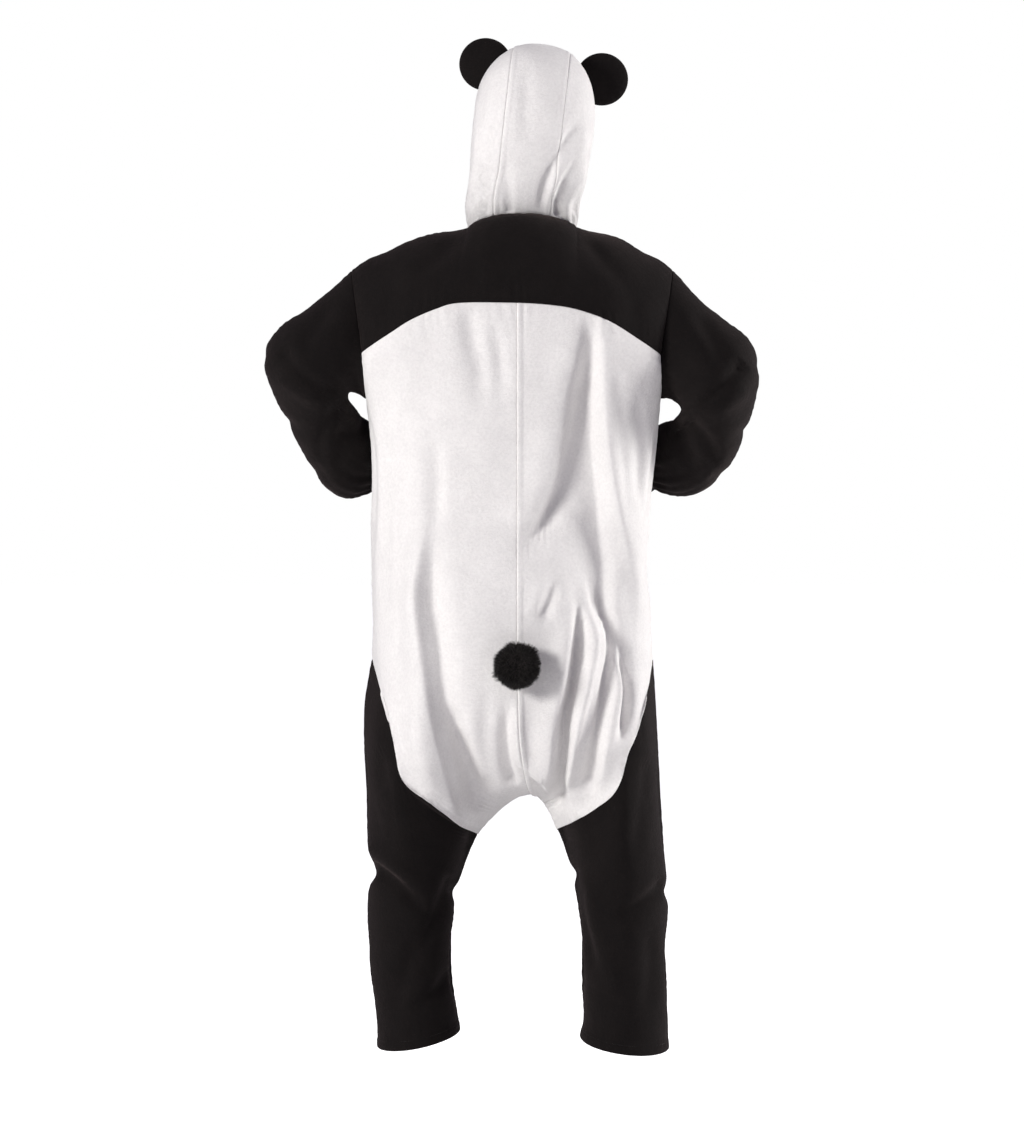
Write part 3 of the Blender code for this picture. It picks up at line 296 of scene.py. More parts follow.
BACK_CREASES = crease_table("body", "back", (
    # The long pleat on the left, with its sharp right flank
    (0.016, 0.034, 0.0085, (0.3, 0.1), (0.138, -0.455), (0.151, -0.553), (0.156, -0.619), (0.149, -0.685),
     (0.141, -0.75), (0.131, -0.816), (0.117, -0.882), (0.103, -0.947), (0.092, -1.005)),
    (-0.013, 0.009, 0.024, (0.3, 0.12), (0.118, -0.488), (0.13, -0.553), (0.133, -0.619), (0.123, -0.685),
     (0.115, -0.75), (0.105, -0.809), (0.089, -0.865), (0.074, -0.931), (0.061, -0.983)),
    # Below it widens into a deep opening
    (0.016, 0.022, 0.024, (0.45, 0.2), (0.144, -0.734), (0.149, -0.791), (0.153, -0.849), (0.148, -0.9),
     (0.138, -0.945), (0.126, -0.975)),
    (-0.02, 0.016, 0.018, (0.35, 0.2), (0.108, -0.783), (0.092, -0.841), (0.072, -0.89), (0.059, -0.939),
     (0.049, -0.983)),
    (0.005, 0.008, 0.014, (0.3, 0.1), (0.098, -0.803), (0.08, -0.845), (0.062, -0.885), (0.048, -0.931)),
    # The wide trough right of the middle, its soft left side and its sharp right one
    (0.01, 0.034, 0.015, (0.3, 0.12), (-0.117, -0.135), (-0.103, -0.192), (-0.095, -0.245),
     (-0.082, -0.307), (-0.069, -0.365), (-0.054, -0.419), (-0.025, -0.475), (-0.011, -0.52)),
    (-0.013, 0.016, 0.034, (0.15, 0.15), (-0.138, -0.151), (-0.131, -0.212), (-0.121, -0.278),
     (-0.107, -0.343), (-0.094, -0.399), (-0.079, -0.445), (-0.054, -0.488), (-0.03, -0.529)),
    (-0.01, 0.012, 0.03, (0.3, 0.25), (-0.094, -0.399), (-0.076, -0.445), (-0.052, -0.488),
     (-0.03, -0.525), (-0.016, -0.56)),
    (-0.024, 0.05, 0.014, (0.25, 0.15), (-0.13, -0.176), (-0.128, -0.258), (-0.13, -0.34),
     (-0.139, -0.406), (-0.148, -0.488), (-0.158, -0.553), (-0.156, -0.619), (-0.15, -0.69)),
    (0.014, 0.01, 0.032, (0.12, 0.3), (-0.143, -0.127), (-0.149, -0.209), (-0.151, -0.291),
     (-0.157, -0.365), (-0.168, -0.438), (-0.181, -0.496), (-0.194, -0.553), (-0.203, -0.619),
     (-0.206, -0.685), (-0.205, -0.735)),
    # Folds that run down the right half to the crotch
    (0.013, 0.012, 0.01, (0.35, 0.1), (-0.113, -0.553), (-0.126, -0.619), (-0.135, -0.685),
     (-0.125, -0.75), (-0.11, -0.816), (-0.097, -0.882), (-0.087, -0.947)),
    (-0.019, 0.009, 0.013, (0.3, 0.1), (-0.144, -0.578), (-0.159, -0.627), (-0.166, -0.685),
     (-0.156, -0.75), (-0.143, -0.816), (-0.128, -0.882), (-0.115, -0.947)),
    (0.008, 0.012, 0.012, (0.3, 0.15), (-0.164, -0.701), (-0.176, -0.758), (-0.164, -0.816),
     (-0.151, -0.882), (-0.138, -0.939)),
    (-0.018, 0.009, 0.009, (0.35, 0.25), (-0.177, -0.66), (-0.187, -0.709), (-0.191, -0.767),
     (-0.187, -0.816), (-0.175, -0.862)),
    (0.015, 0.024, 0.009, (0.4, 0.1), (-0.084, -0.57), (-0.095, -0.635), (-0.089, -0.701),
     (-0.079, -0.767), (-0.066, -0.824), (-0.062, -0.882), (-0.056, -0.939)),
    (-0.022, 0.009, 0.011, (0.3, 0.08), (-0.112, -0.603), (-0.11, -0.676), (-0.101, -0.75),
     (-0.088, -0.808), (-0.084, -0.873), (-0.076, -0.934), (-0.068, -0.983)),
    (-0.007, 0.01, 0.012, (0.4, 0.3), (-0.079, -0.578), (-0.061, -0.622), (-0.046, -0.662)),
    (0.006, 0.016, 0.009, (0.4, 0.3), (-0.059, -0.573), (-0.043, -0.616), (-0.031, -0.652)),
    # The seam's own folds above the crotch
    (0.009, 0.006, 0.014, (0.3, 0.1), (-0.008, -0.767), (-0.008, -0.813), (-0.01, -0.857),
     (-0.016, -0.885), (-0.036, -0.901), (-0.051, -0.924), (-0.062, -0.954)),
    (-0.012, 0.013, 0.007, (0.35, 0.1), (0.007, -0.775), (0.008, -0.841), (0.005, -0.89),
     (-0.007, -0.931)),
    (-0.009, 0.009, 0.009, (0.3, 0.1), (-0.034, -0.905), (-0.051, -0.932), (-0.061, -0.967)),
    # Soft drapes of the upper back and the two sides
    (-0.0065, 0.018, 0.016, (0.2, 0.5), (0.074, -0.125), (0.066, -0.187), (0.053, -0.241),
     (0.044, -0.33)),
    (-0.0045, 0.014, 0.012, (0.4, 0.4), (0.033, -0.15), (0.02, -0.225), (0.018, -0.31)),
    (-0.0065, 0.018, 0.014, (0.4, 0.4), (0.128, -0.33), (0.124, -0.438), (0.131, -0.54)),
    (-0.006, 0.012, 0.016, (0.2, 0.4), (-0.168, -0.19), (-0.176, -0.324), (-0.186, -0.438),
     (-0.2, -0.56)),
    (-0.009, 0.014, 0.01, (0.35, 0.35), (-0.208, -0.27), (-0.214, -0.36), (-0.213, -0.49)),
    (-0.006, 0.012, 0.012, (0.3, 0.3), (0.212, -0.27), (0.207, -0.406), (0.211, -0.553), (0.208, -0.7)),
    (-0.005, 0.014, 0.014, (0.3, 0.3), (0.177, -0.33), (0.182, -0.52), (0.184, -0.685), (0.176, -0.84)),
    (-0.004, 0.014, 0.014, (0.3, 0.2), (0.197, -0.783), (0.181, -0.849), (0.151, -0.914), (0.11, -0.96)),
    (-0.005, 0.016, 0.016, (0.3, 0.2), (0.038, -0.76), (0.044, -0.832), (0.039, -0.914), (0.028, -0.965)),
    (-0.006, 0.012, 0.012, (0.3, 0.2), (-0.144, -0.86), (-0.138, -0.905), (-0.124, -0.95),
     (-0.105, -0.985)),
    # The back of the yoke, drawn from the neck to the shoulders and the sleeve seams
    (-0.004, 0.014, 0.014, (0.3, 0.4), (0.075, 0), (0.12, -0.05), (0.19, -0.105)),
    (-0.004, 0.014, 0.014, (0.3, 0.4), (-0.11, -0.005), (-0.15, -0.055), (-0.205, -0.12)),
    (-0.003, 0.018, 0.018, (0.4, 0.4), (0.205, -0.06), (0.2, -0.12), (0.215, -0.19)),
    (-0.003, 0.018, 0.018, (0.4, 0.4), (-0.21, -0.07), (-0.2, -0.13), (-0.222, -0.2)),
    (0.003, 0.02, 0.02, (0.4, 0.4), (0.03, -0.02), (0.04, -0.07), (0.03, -0.125)),
))
FRONT_CREASES = crease_table("body", "front", (
    (0.01, 0.018, 0.034, (0.2, 0.2), (0.14, -0.15), (0.135, -0.3), (0.128, -0.45), (0.145, -0.6),
     (0.152, -0.74)),
    (-0.012, 0.024, 0.013, (0.2, 0.2), (0.108, -0.17), (0.1, -0.31), (0.088, -0.46), (0.096, -0.62),
     (0.104, -0.78)),
    (0.01, 0.034, 0.018, (0.2, 0.2), (-0.148, -0.15), (-0.134, -0.29), (-0.118, -0.43), (-0.14, -0.59),
     (-0.155, -0.74)),
    (-0.012, 0.013, 0.024, (0.2, 0.2), (-0.104, -0.19), (-0.092, -0.34), (-0.084, -0.49), (-0.096, -0.64),
     (-0.108, -0.79)),
    (-0.008, 0.014, 0.018, (0.3, 0.25), (0.178, -0.73), (0.136, -0.812), (0.09, -0.886), (0.046, -0.968)),
    (-0.008, 0.018, 0.014, (0.3, 0.25), (-0.176, -0.735), (-0.134, -0.815), (-0.094, -0.884),
     (-0.058, -0.955)),
    (0.005, 0.012, 0.016, (0.3, 0.2), (0.118, -0.77), (0.082, -0.842), (0.044, -0.915)),
    (0.005, 0.016, 0.012, (0.3, 0.2), (-0.12, -0.78), (-0.084, -0.85), (-0.048, -0.915)),
    (-0.006, 0.012, 0.012, (0.3, 0.2), (0.04, -0.7), (0.026, -0.8), (-0.004, -0.905)),
    (-0.006, 0.012, 0.012, (0.3, 0.2), (-0.06, -0.72), (-0.05, -0.81), (-0.034, -0.91)),
    (-0.006, 0.016, 0.012, (0.2, 0.4), (0.205, -0.215), (0.188, -0.33), (0.196, -0.47)),
    (-0.006, 0.012, 0.016, (0.2, 0.4), (-0.21, -0.22), (-0.19, -0.345), (-0.186, -0.48)),
    (-0.005, 0.014, 0.014, (0.3, 0.4), (0.06, -0.18), (0.052, -0.28), (0.058, -0.4)),
    (-0.005, 0.014, 0.014, (0.3, 0.4), (-0.06, -0.2), (-0.056, -0.32), (-0.062, -0.44)),
    (-0.005, 0.014, 0.014, (0.3, 0.3), (0.196, -0.52), (0.205, -0.62), (0.198, -0.72)),
    (-0.005, 0.014, 0.014, (0.3, 0.3), (-0.19, -0.53), (-0.202, -0.63), (-0.2, -0.73)),
    (-0.004, 0.014, 0.014, (0.3, 0.4), (0.085, -0.01), (0.13, -0.06), (0.19, -0.115)),
    (-0.004, 0.014, 0.014, (0.3, 0.4), (-0.115, -0.01), (-0.15, -0.065), (-0.205, -0.125)),
    (-0.004, 0.016, 0.016, (0.3, 0.4), (0.2, -0.06), (0.185, -0.12), (0.205, -0.195)),
    (-0.004, 0.016, 0.016, (0.3, 0.4), (-0.205, -0.065), (-0.19, -0.125), (-0.212, -0.2)),
))
SLEEVE_CREASES = crease_table("sleeve", "back", (
    # From the inside of the elbow outwards, on the back
    (-0.009, 0.014, 0.012, (0.1, 0.4), (0.385, -0.205), (0.345, -0.25), (0.292, -0.284)),
    (0.005, 0.014, 0.014, (0.2, 0.4), (0.395, -0.245), (0.35, -0.275), (0.3, -0.295)),
    (-0.008, 0.014, 0.012, (0.1, 0.4), (0.282, -0.3), (0.315, -0.342), (0.335, -0.405)),
    (-0.006, 0.014, 0.014, (0.1, 0.5), (0.272, -0.315), (0.288, -0.365), (0.296, -0.43)),
    (-0.006, 0.016, 0.016, (0.3, 0.3), (0.29, -0.11), (0.33, -0.175), (0.352, -0.225)),
    (-0.009, 0.014, 0.012, (0.1, 0.4), (-0.388, -0.228), (-0.345, -0.272), (-0.3, -0.302)),
    (0.005, 0.014, 0.014, (0.2, 0.4), (-0.398, -0.265), (-0.352, -0.298), (-0.305, -0.315)),
    (-0.008, 0.014, 0.012, (0.1, 0.4), (-0.29, -0.322), (-0.33, -0.362), (-0.352, -0.412)),
    (-0.006, 0.014, 0.014, (0.1, 0.5), (-0.28, -0.335), (-0.3, -0.382), (-0.312, -0.435)),
    (-0.006, 0.016, 0.016, (0.3, 0.3), (-0.3, -0.13), (-0.335, -0.19), (-0.356, -0.245)),
)) + crease_table("sleeve", "front", (
    # The same on the front
    (-0.01, 0.014, 0.014, (0.1, 0.4), (0.38, -0.195), (0.34, -0.255), (0.292, -0.29)),
    (0.006, 0.014, 0.014, (0.2, 0.4), (0.395, -0.24), (0.352, -0.285), (0.3, -0.308)),
    (-0.008, 0.014, 0.014, (0.1, 0.4), (0.285, -0.31), (0.322, -0.35), (0.345, -0.4)),
    (-0.007, 0.016, 0.016, (0.3, 0.3), (0.285, -0.12), (0.322, -0.175), (0.35, -0.22)),
    (-0.01, 0.014, 0.014, (0.1, 0.4), (-0.382, -0.215), (-0.345, -0.27), (-0.298, -0.306)),
    (0.006, 0.014, 0.014, (0.2, 0.4), (-0.398, -0.26), (-0.356, -0.302), (-0.305, -0.322)),
    (-0.008, 0.014, 0.014, (0.1, 0.4), (-0.292, -0.326), (-0.332, -0.368), (-0.358, -0.408)),
    (-0.007, 0.016, 0.016, (0.3, 0.3), (-0.292, -0.135), (-0.33, -0.192), (-0.355, -0.238)),
)) + crease_table("sleeve", "left", (
    # Round the outside of the elbow
    (-0.005, 0.014, 0.014, (0.4, 0.4), (-0.05, -0.19), (0.01, -0.215), (0.08, -0.205)),
    (-0.005, 0.014, 0.014, (0.4, 0.4), (-0.08, -0.29), (-0.02, -0.325), (0.05, -0.33)),
    (-0.004, 0.012, 0.012, (0.4, 0.4), (-0.11, -0.38), (-0.06, -0.41), (0, -0.4)),
)) + crease_table("sleeve", "right", (
    (-0.005, 0.014, 0.014, (0.4, 0.4), (-0.05, -0.205), (0.01, -0.232), (0.08, -0.222)),
    (-0.005, 0.014, 0.014, (0.4, 0.4), (-0.08, -0.3), (-0.02, -0.34), (0.05, -0.342)),
    (-0.004, 0.012, 0.012, (0.4, 0.4), (-0.11, -0.385), (-0.06, -0.415), (0, -0.408)),
))
LEG_CREASES = crease_table("leg", "back", (
    # Behind the knees and below them
    (-0.011, 0.013, 0.011, (0.05, 0.5), (0.236, -1.062), (0.205, -1.08), (0.16, -1.118), (0.128, -1.16)),
    (0.006, 0.016, 0.016, (0.1, 0.5), (0.24, -1.03), (0.205, -1.048), (0.15, -1.08)),
    (-0.008, 0.014, 0.014, (0.1, 0.4), (0.092, -1.075), (0.118, -1.13), (0.16, -1.24)),
    (-0.006, 0.014, 0.014, (0.3, 0.4), (0.15, -1.15), (0.175, -1.23), (0.205, -1.32)),
    (-0.006, 0.012, 0.012, (0.2, 0.4), (0.095, -1.23), (0.13, -1.275), (0.19, -1.305)),
    (0.006, 0.02, 0.016, (0.3, 0.3), (-0.12, -1.06), (-0.14, -1.16), (-0.184, -1.3)),
    (-0.007, 0.014, 0.012, (0.2, 0.4), (-0.108, -1.08), (-0.118, -1.16), (-0.15, -1.26)),
    (-0.008, 0.013, 0.013, (0.1, 0.4), (-0.258, -1.09), (-0.215, -1.12), (-0.16, -1.15)),
    (-0.005, 0.014, 0.014, (0.3, 0.3), (-0.225, -1.15), (-0.232, -1.23), (-0.222, -1.32)),
    (-0.005, 0.014, 0.014, (0.2, 0.4), (0.222, -0.86), (0.2, -0.96), (0.19, -1.04)),
    (-0.005, 0.014, 0.014, (0.2, 0.4), (-0.225, -0.87), (-0.215, -0.97), (-0.2, -1.06)),
)) + crease_table("leg", "front", (
    # Over the knees and down the shins
    (-0.012, 0.016, 0.016, (0.1, 0.3), (0.232, -1.065), (0.17, -1.092), (0.108, -1.13)),
    (0.006, 0.016, 0.016, (0.2, 0.4), (0.236, -1.025), (0.18, -1.05), (0.115, -1.085)),
    (-0.007, 0.014, 0.014, (0.2, 0.4), (0.112, -1.14), (0.14, -1.22), (0.18, -1.31)),
    (-0.006, 0.012, 0.012, (0.3, 0.3), (0.22, -1.18), (0.18, -1.235), (0.12, -1.26)),
    (-0.012, 0.016, 0.016, (0.1, 0.3), (-0.252, -1.088), (-0.19, -1.112), (-0.124, -1.15)),
    (0.006, 0.016, 0.016, (0.2, 0.4), (-0.254, -1.045), (-0.195, -1.07), (-0.13, -1.105)),
    (-0.007, 0.014, 0.014, (0.2, 0.4), (-0.126, -1.16), (-0.155, -1.24), (-0.2, -1.325)),
    (-0.006, 0.012, 0.012, (0.3, 0.3), (-0.246, -1.2), (-0.2, -1.255), (-0.14, -1.28)),
    (-0.006, 0.016, 0.016, (0.2, 0.4), (0.205, -0.85), (0.185, -0.94), (0.15, -1.03)),
    (-0.006, 0.016, 0.016, (0.2, 0.4), (-0.21, -0.86), (-0.195, -0.95), (-0.165, -1.04)),
)) + crease_table("leg", "left", (
    # Down the outer sides
    (-0.005, 0.016, 0.016, (0.3, 0.4), (0.03, -0.86), (0.02, -0.98), (0, -1.09)),
    (-0.007, 0.013, 0.013, (0.2, 0.3), (-0.07, -1.06), (-0.01, -1.085), (0.06, -1.07)),
    (-0.005, 0.014, 0.014, (0.3, 0.4), (-0.02, -1.13), (0.01, -1.21), (0.02, -1.32)),
)) + crease_table("leg", "right", (
    (-0.005, 0.016, 0.016, (0.3, 0.4), (0.03, -0.87), (0.025, -0.99), (0.01, -1.1)),
    (-0.006, 0.013, 0.013, (0.2, 0.3), (-0.07, -1.09), (-0.01, -1.115), (0.06, -1.1)),
    (-0.005, 0.014, 0.014, (0.3, 0.4), (0, -1.15), (0.015, -1.23), (0.01, -1.33)),
))
SIDE_CREASES = crease_table("body", "left", (
    (-0.006, 0.016, 0.016, (0.2, 0.4), (0.02, -0.3), (0.03, -0.42), (0.02, -0.56)),
    (-0.006, 0.014, 0.014, (0.3, 0.3), (-0.06, -0.38), (-0.07, -0.5), (-0.05, -0.64)),
    (0.005, 0.018, 0.018, (0.3, 0.3), (-0.02, -0.43), (-0.024, -0.56), (-0.01, -0.69)),
)) + crease_table("body", "right", (
    (-0.006, 0.016, 0.016, (0.2, 0.4), (0.02, -0.31), (0.028, -0.44), (0.014, -0.57)),
    (-0.006, 0.014, 0.014, (0.3, 0.3), (-0.065, -0.39), (-0.072, -0.52), (-0.052, -0.65)),
    (0.005, 0.018, 0.018, (0.3, 0.3), (-0.018, -0.44), (-0.026, -0.57), (-0.012, -0.7)),
))
HOOD_CREASES = crease_table("hood", "back", (
    # Folds on the right of the hood, towards the neck
    (-0.006, 0.008, 0.01, (0.3, 0.2), (-0.129, 0.199), (-0.109, 0.166), (-0.088, 0.135), (-0.068, 0.097),
     (-0.053, 0.057), (-0.046, 0.017)),
    (0.005, 0.009, 0.008, (0.3, 0.2), (-0.132, 0.159), (-0.111, 0.123), (-0.089, 0.093), (-0.073, 0.064),
     (-0.063, 0.031)),
    (-0.006, 0.007, 0.008, (0.3, 0.1), (-0.121, 0.14), (-0.099, 0.103), (-0.083, 0.074), (-0.073, 0.041),
     (-0.079, 0.004)),
    (0.004, 0.006, 0.008, (0.3, 0.1), (-0.125, 0.098), (-0.107, 0.067), (-0.092, 0.041), (-0.092, 0.008)),
    (-0.005, 0.006, 0.007, (0.3, 0.1), (-0.125, 0.065), (-0.107, 0.037), (-0.104, 0.004)),
    (-0.003, 0.01, 0.01, (0.4, 0.1), (0.012, 0.123), (0.007, 0.065), (0, 0.017)),
    (-0.003, 0.01, 0.01, (0.5, 0.1), (0.05, 0.1), (0.046, 0.06), (0.04, 0.025)),
    (-0.003, 0.014, 0.014, (0.4, 0.4), (-0.03, 0.28), (-0.022, 0.2), (-0.026, 0.12)),
    (-0.003, 0.012, 0.012, (0.4, 0.4), (0.04, 0.26), (0.056, 0.2), (0.058, 0.14)),
)) + crease_table("hood", "left", (
    (-0.004, 0.01, 0.01, (0.4, 0.2), (0.07, 0.17), (0.05, 0.11), (0.02, 0.04)),
    (-0.004, 0.012, 0.012, (0.4, 0.3), (0.02, 0.2), (0, 0.13), (-0.02, 0.05)),
    (0.003, 0.012, 0.012, (0.4, 0.3), (-0.02, 0.22), (-0.04, 0.15), (-0.05, 0.07)),
)) + crease_table("hood", "right", (
    (-0.004, 0.01, 0.01, (0.4, 0.2), (0.075, 0.16), (0.052, 0.1), (0.025, 0.035)),
    (-0.004, 0.012, 0.012, (0.4, 0.3), (0.024, 0.19), (0.002, 0.12), (-0.018, 0.045)),
    (0.003, 0.012, 0.012, (0.4, 0.3), (-0.018, 0.21), (-0.038, 0.14), (-0.05, 0.065)),
))
GARMENT_CREASES = BACK_CREASES + FRONT_CREASES + SIDE_CREASES + SLEEVE_CREASES + LEG_CREASES

# Each side that the garment is looked at from: which way it faces, and the way to its right
View = namedtuple("View", "facing across")
VIEWS = {
    "back": View((0, 1, 0), (-1, 0, 0)),
    "front": View((0, -1, 0), (1, 0, 0)),
    "left": View((1, 0, 0), (0, 1, 0)),
    "right": View((-1, 0, 0), (0, -1, 0)),
}

CREASE_SAMPLE = 0.006

# Slow waves of the whole cloth, longer down than across
WAVE_HEIGHT = 0.0016
WAVE_ACROSS = 0.055
WAVE_DOWN = 0.160
DENT_HEIGHT = 0.0005
DENT_SIZE = 0.022

# Each piece's flat cut: width, length, area, how it is held and what it hangs from
Cut = namedtuple("Cut", "width length area held rests_on")

# The studio
MIDDLE_OF_COSTUME = (0, 0, -0.55)
LIGHT_SIZE = 1.3
LIGHT_COLOUR = (1.0, 0.985, 0.96)
LEFT_LIGHT_AT = (3.5, 3.3, 0.7)
RIGHT_LIGHT_AT = (-4.0, -0.35, 0.5)
LEFT_LIGHT_WATTS = 173
RIGHT_LIGHT_WATTS = 158
TOP_LIGHT_AT = (0.8, 2.0, 3.2)
TOP_LIGHT_WATTS = 26
WORLD_STRENGTH = 0.155
WORLD_COLOUR = (0.82, 0.73, 1.0)
FLOOR_Z = -1.488
FLOOR_GLOW = 0.90
CAMERA_AT = (0, 5, -0.45)
CAMERA_SENSOR = 36
CAMERA_LENS = 94.9
CAMERA_SHIFT = -0.0585


def spline(rows, count):
    """count + 1 rows on a smooth curve through a table's rows."""
    knots = np.array(rows, float)
    knots = np.vstack([2 * knots[0] - knots[1], knots, 2 * knots[-1] - knots[-2]])
    place = np.linspace(0, len(rows) - 1, count + 1)
    first = np.minimum(place.astype(int), len(rows) - 2)
    t = (place - first)[:, None]
    a, b, c, d = (knots[first + k] for k in range(4))
    return b + 0.5 * t * (c - a + t * (2 * a - 5 * b + 4 * c - d + t * (3 * (b - c) + d - a)))


def smoothstep(value):
    value = np.clip(value, 0, 1)
    return value * value * (3 - 2 * value)


def divided(values, parts):
    """Values with parts - 1 more of them evenly between each two."""
    values = np.array(values, float)
    place = np.linspace(0, len(values) - 1, (len(values) - 1) * parts + 1)
    return resampled(values, place)


def resampled(values, place):
    """Values at fractional places in a list of them, along straight lines."""
    first = np.minimum(place.astype(int), len(values) - 2)
    share = (place - first).reshape((-1,) + (1,) * (values.ndim - 1))
    return values[first] * (1 - share) + values[first + 1] * share


def column_angles():
    """Angles round a section, closer together towards the middle; the middle pair is the placket."""
    near = math.acos((PLACKET_HALF_WIDTH / BODY[0].left) ** (1 / ROUNDNESS))
    fine = np.linspace(0, near, ANGLE_SAMPLES)
    x = BODY[0].left * np.cos(fine) ** ROUNDNESS
    y = BODY[0].back * np.sin(fine) ** ROUNDNESS
    step = np.hypot(np.diff(x), np.diff(y)) * np.linspace(1, MIDDLE_COLUMNS_CLOSER, ANGLE_SAMPLES - 1)
    run = np.concatenate([[0], np.cumsum(step)])
    left = list(np.interp(np.linspace(0, run[-1], COLUMNS // 2), run, fine))
    angles = left + [math.pi / 2] + [math.pi - angle for angle in reversed(left)]
    return divided(angles, COLUMN_PARTS)


def neck_angles():
    half = COLUMNS // 2 - NECK_SHOULDER_COLUMNS
    near = math.acos(PLACKET_HALF_WIDTH / NECK_HALF_WIDTH)
    left = list(np.linspace(0, near, half))
    return np.array(left + [math.pi / 2] + [math.pi - angle for angle in reversed(left)])


def neckline(side, angle):
    """Points round the back (+1) or front (-1) of the neck, from left to right."""
    y, z = NECK_BACK if side > 0 else NECK_FRONT
    drop = (z - NECK_SIDE_Z) * np.sin(angle) ** NECK_DROP_ROUND
    x = NECK_X + NECK_HALF_WIDTH * np.cos(angle)
    return np.stack([x, y * np.sin(angle), NECK_SIDE_Z + drop], axis=1)


def top_row(side):
    """The shoulder lines with the neckline between them."""
    line = spline(SHOULDER, CURVE_SAMPLES)
    x = np.linspace(line[0, 0], line[-1, 0], NECK_SHOULDER_COLUMNS * COLUMN_PARTS + 1)
    z = np.interp(-x, -line[:, 0], line[:, 1])
    share = np.linspace(0, 1, len(x))
    left = np.stack([x + NECK_X * share, np.zeros_like(x), z], axis=1)
    right = np.stack([NECK_X * share - x, np.zeros_like(x), z], axis=1)[::-1]
    return np.vstack([left[:-1], neckline(side, divided(neck_angles(), COLUMN_PARTS)), right[1:]])


def section_row(left, right, middle, even=0.0):
    """A row of points from one side edge through the middle to the other."""
    angle = column_angles()
    across = np.abs(np.cos(angle)) ** ROUNDNESS
    across += (np.abs(1 - 2 * angle / math.pi) - across) * even
    depth = np.sin(angle) ** ROUNDNESS
    edge = np.where((np.cos(angle) > 0)[:, None], left, right)
    x = middle[0] + (edge[:, 0] - middle[0]) * across
    y = edge[:, 1] + (middle[1] - edge[:, 1]) * depth
    z = middle[2] + (edge[:, 2] - middle[2]) * across**SEAT_MIDDLE_ROUND
    return np.stack([x, y, z], axis=1)


def body_rows(side):
    """All rows of the back (+1) or front (-1), from the shoulders down to the crotch."""
    arch = spline(YOKE_ARCH, CURVE_SAMPLES)
    under_arm = BODY[0]
    depth = under_arm.back if side > 0 else under_arm.front
    rows = []
    edge_left = np.array([arch[0, 0], side * ARMHOLE_DEPTH, arch[0, 1]])
    edge_right = np.array([arch[-1, 0], side * ARMHOLE_DEPTH, arch[-1, 1]])
    middle = (under_arm.middle, side * depth, arch[len(arch) // 2, 1])
    yoke = section_row(edge_left, edge_right, middle)
    yoke[:, 2] = np.interp(-yoke[:, 0], -arch[:, 0], arch[:, 1])
    top = top_row(side)
    for angle in np.linspace(0, math.pi / 2, YOKE_ROWS + 1):
        share = max(math.cos(angle), 0) ** SHOULDER_ROUND
        bend = math.sin(angle) ** SHOULDER_ROUND
        x = yoke[:, 0] + (top[:, 0] - yoke[:, 0]) * share
        y = top[:, 1] + (yoke[:, 1] - top[:, 1]) * bend
        z = yoke[:, 2] + (top[:, 2] - yoke[:, 2]) * share
        rows.append(np.stack([x, y, z], axis=1))
    left = np.array([under_arm.left, 0, under_arm.z])
    right = np.array([under_arm.right, 0, under_arm.z])
    armpit = section_row(left, right, (under_arm.middle, side * depth, under_arm.z))
    for share in np.linspace(0, 1, ARMPIT_ROWS + 1)[1:]:
        row = yoke + (armpit - yoke) * share
        lift = math.sqrt(1 - share**2) - (1 - share)
        row[:, 1] += side * ARMHOLE_DEPTH * lift * (1 - np.sin(column_angles()) ** ROUNDNESS)
        rows.append(row)
    for z, left, right, middle, back, front in spline(BODY, SIDE_ROWS)[1:]:
        y = back if side > 0 else -front
        rows.append(section_row((left, 0, z), (right, 0, z), (middle, y, z)))
    for number, row in enumerate(spline(SEAT, SEAT_ROWS)[1:], 1):
        seat = Seat(*row)
        seam_y = side * max(seat.seam_back if side > 0 else seat.seam_front, 0)
        middle_y = seat.back if side > 0 else -seat.front
        rows.append(
            section_row(
                (seat.left_x, seam_y, seat.left_z),
                (seat.right_x, seam_y, seat.right_z),
                (seat.middle_x, middle_y, seat.middle_z),
                even=smoothstep(2 * number / SEAT_ROWS - 1),
            )
        )
    return np.array(rows)


def ring_points(ring, angle):
    """Points round one ring of a sleeve or leg; angle 0 is at the inner edge, pi / 2 at the back."""
    outer = np.array([ring.outer_x, ring.y, ring.outer_z])
    inner = np.array([ring.inner_x, ring.y, ring.inner_z])
    deep = np.array([ring.lean, ring.depth, -ring.drop])
    centre, across = (outer + inner) / 2, (outer - inner) / 2
    return centre - np.cos(angle)[:, None] * across + np.sin(angle)[:, None] * deep


def tube_rings(table, count, seam, angle):
    """Rings below a seam, whose own shape fades away over the first of them."""
    first = ring_points(table[0], angle)
    rings = []
    for row in spline(table, count)[1:]:
        ring = Ring(*row)
        rings.append(ring_points(ring, angle) + (seam - first) * max(ring.keep, 0))
    return rings


def with_first(grid):
    """A grid with its first column once more at its end, which closes it to a tube."""
    return np.hstack([grid, grid[:, :1]])


def grid_quads(number):
    """The quads between the rows and columns of a grid of point numbers."""
    a, b, c, d = number[:-1, :-1], number[1:, :-1], number[1:, 1:], number[:-1, 1:]
    return np.stack([a, b, c, d], axis=-1).reshape(-1, 4)


def run_along(line):
    """How far each point of a line is from its start, along the line."""
    return np.concatenate([[0], np.cumsum(np.linalg.norm(np.diff(line, axis=0), axis=1))])


def circle(count):
    """Equal angles once round."""
    return 2 * math.pi * np.arange(count) / count


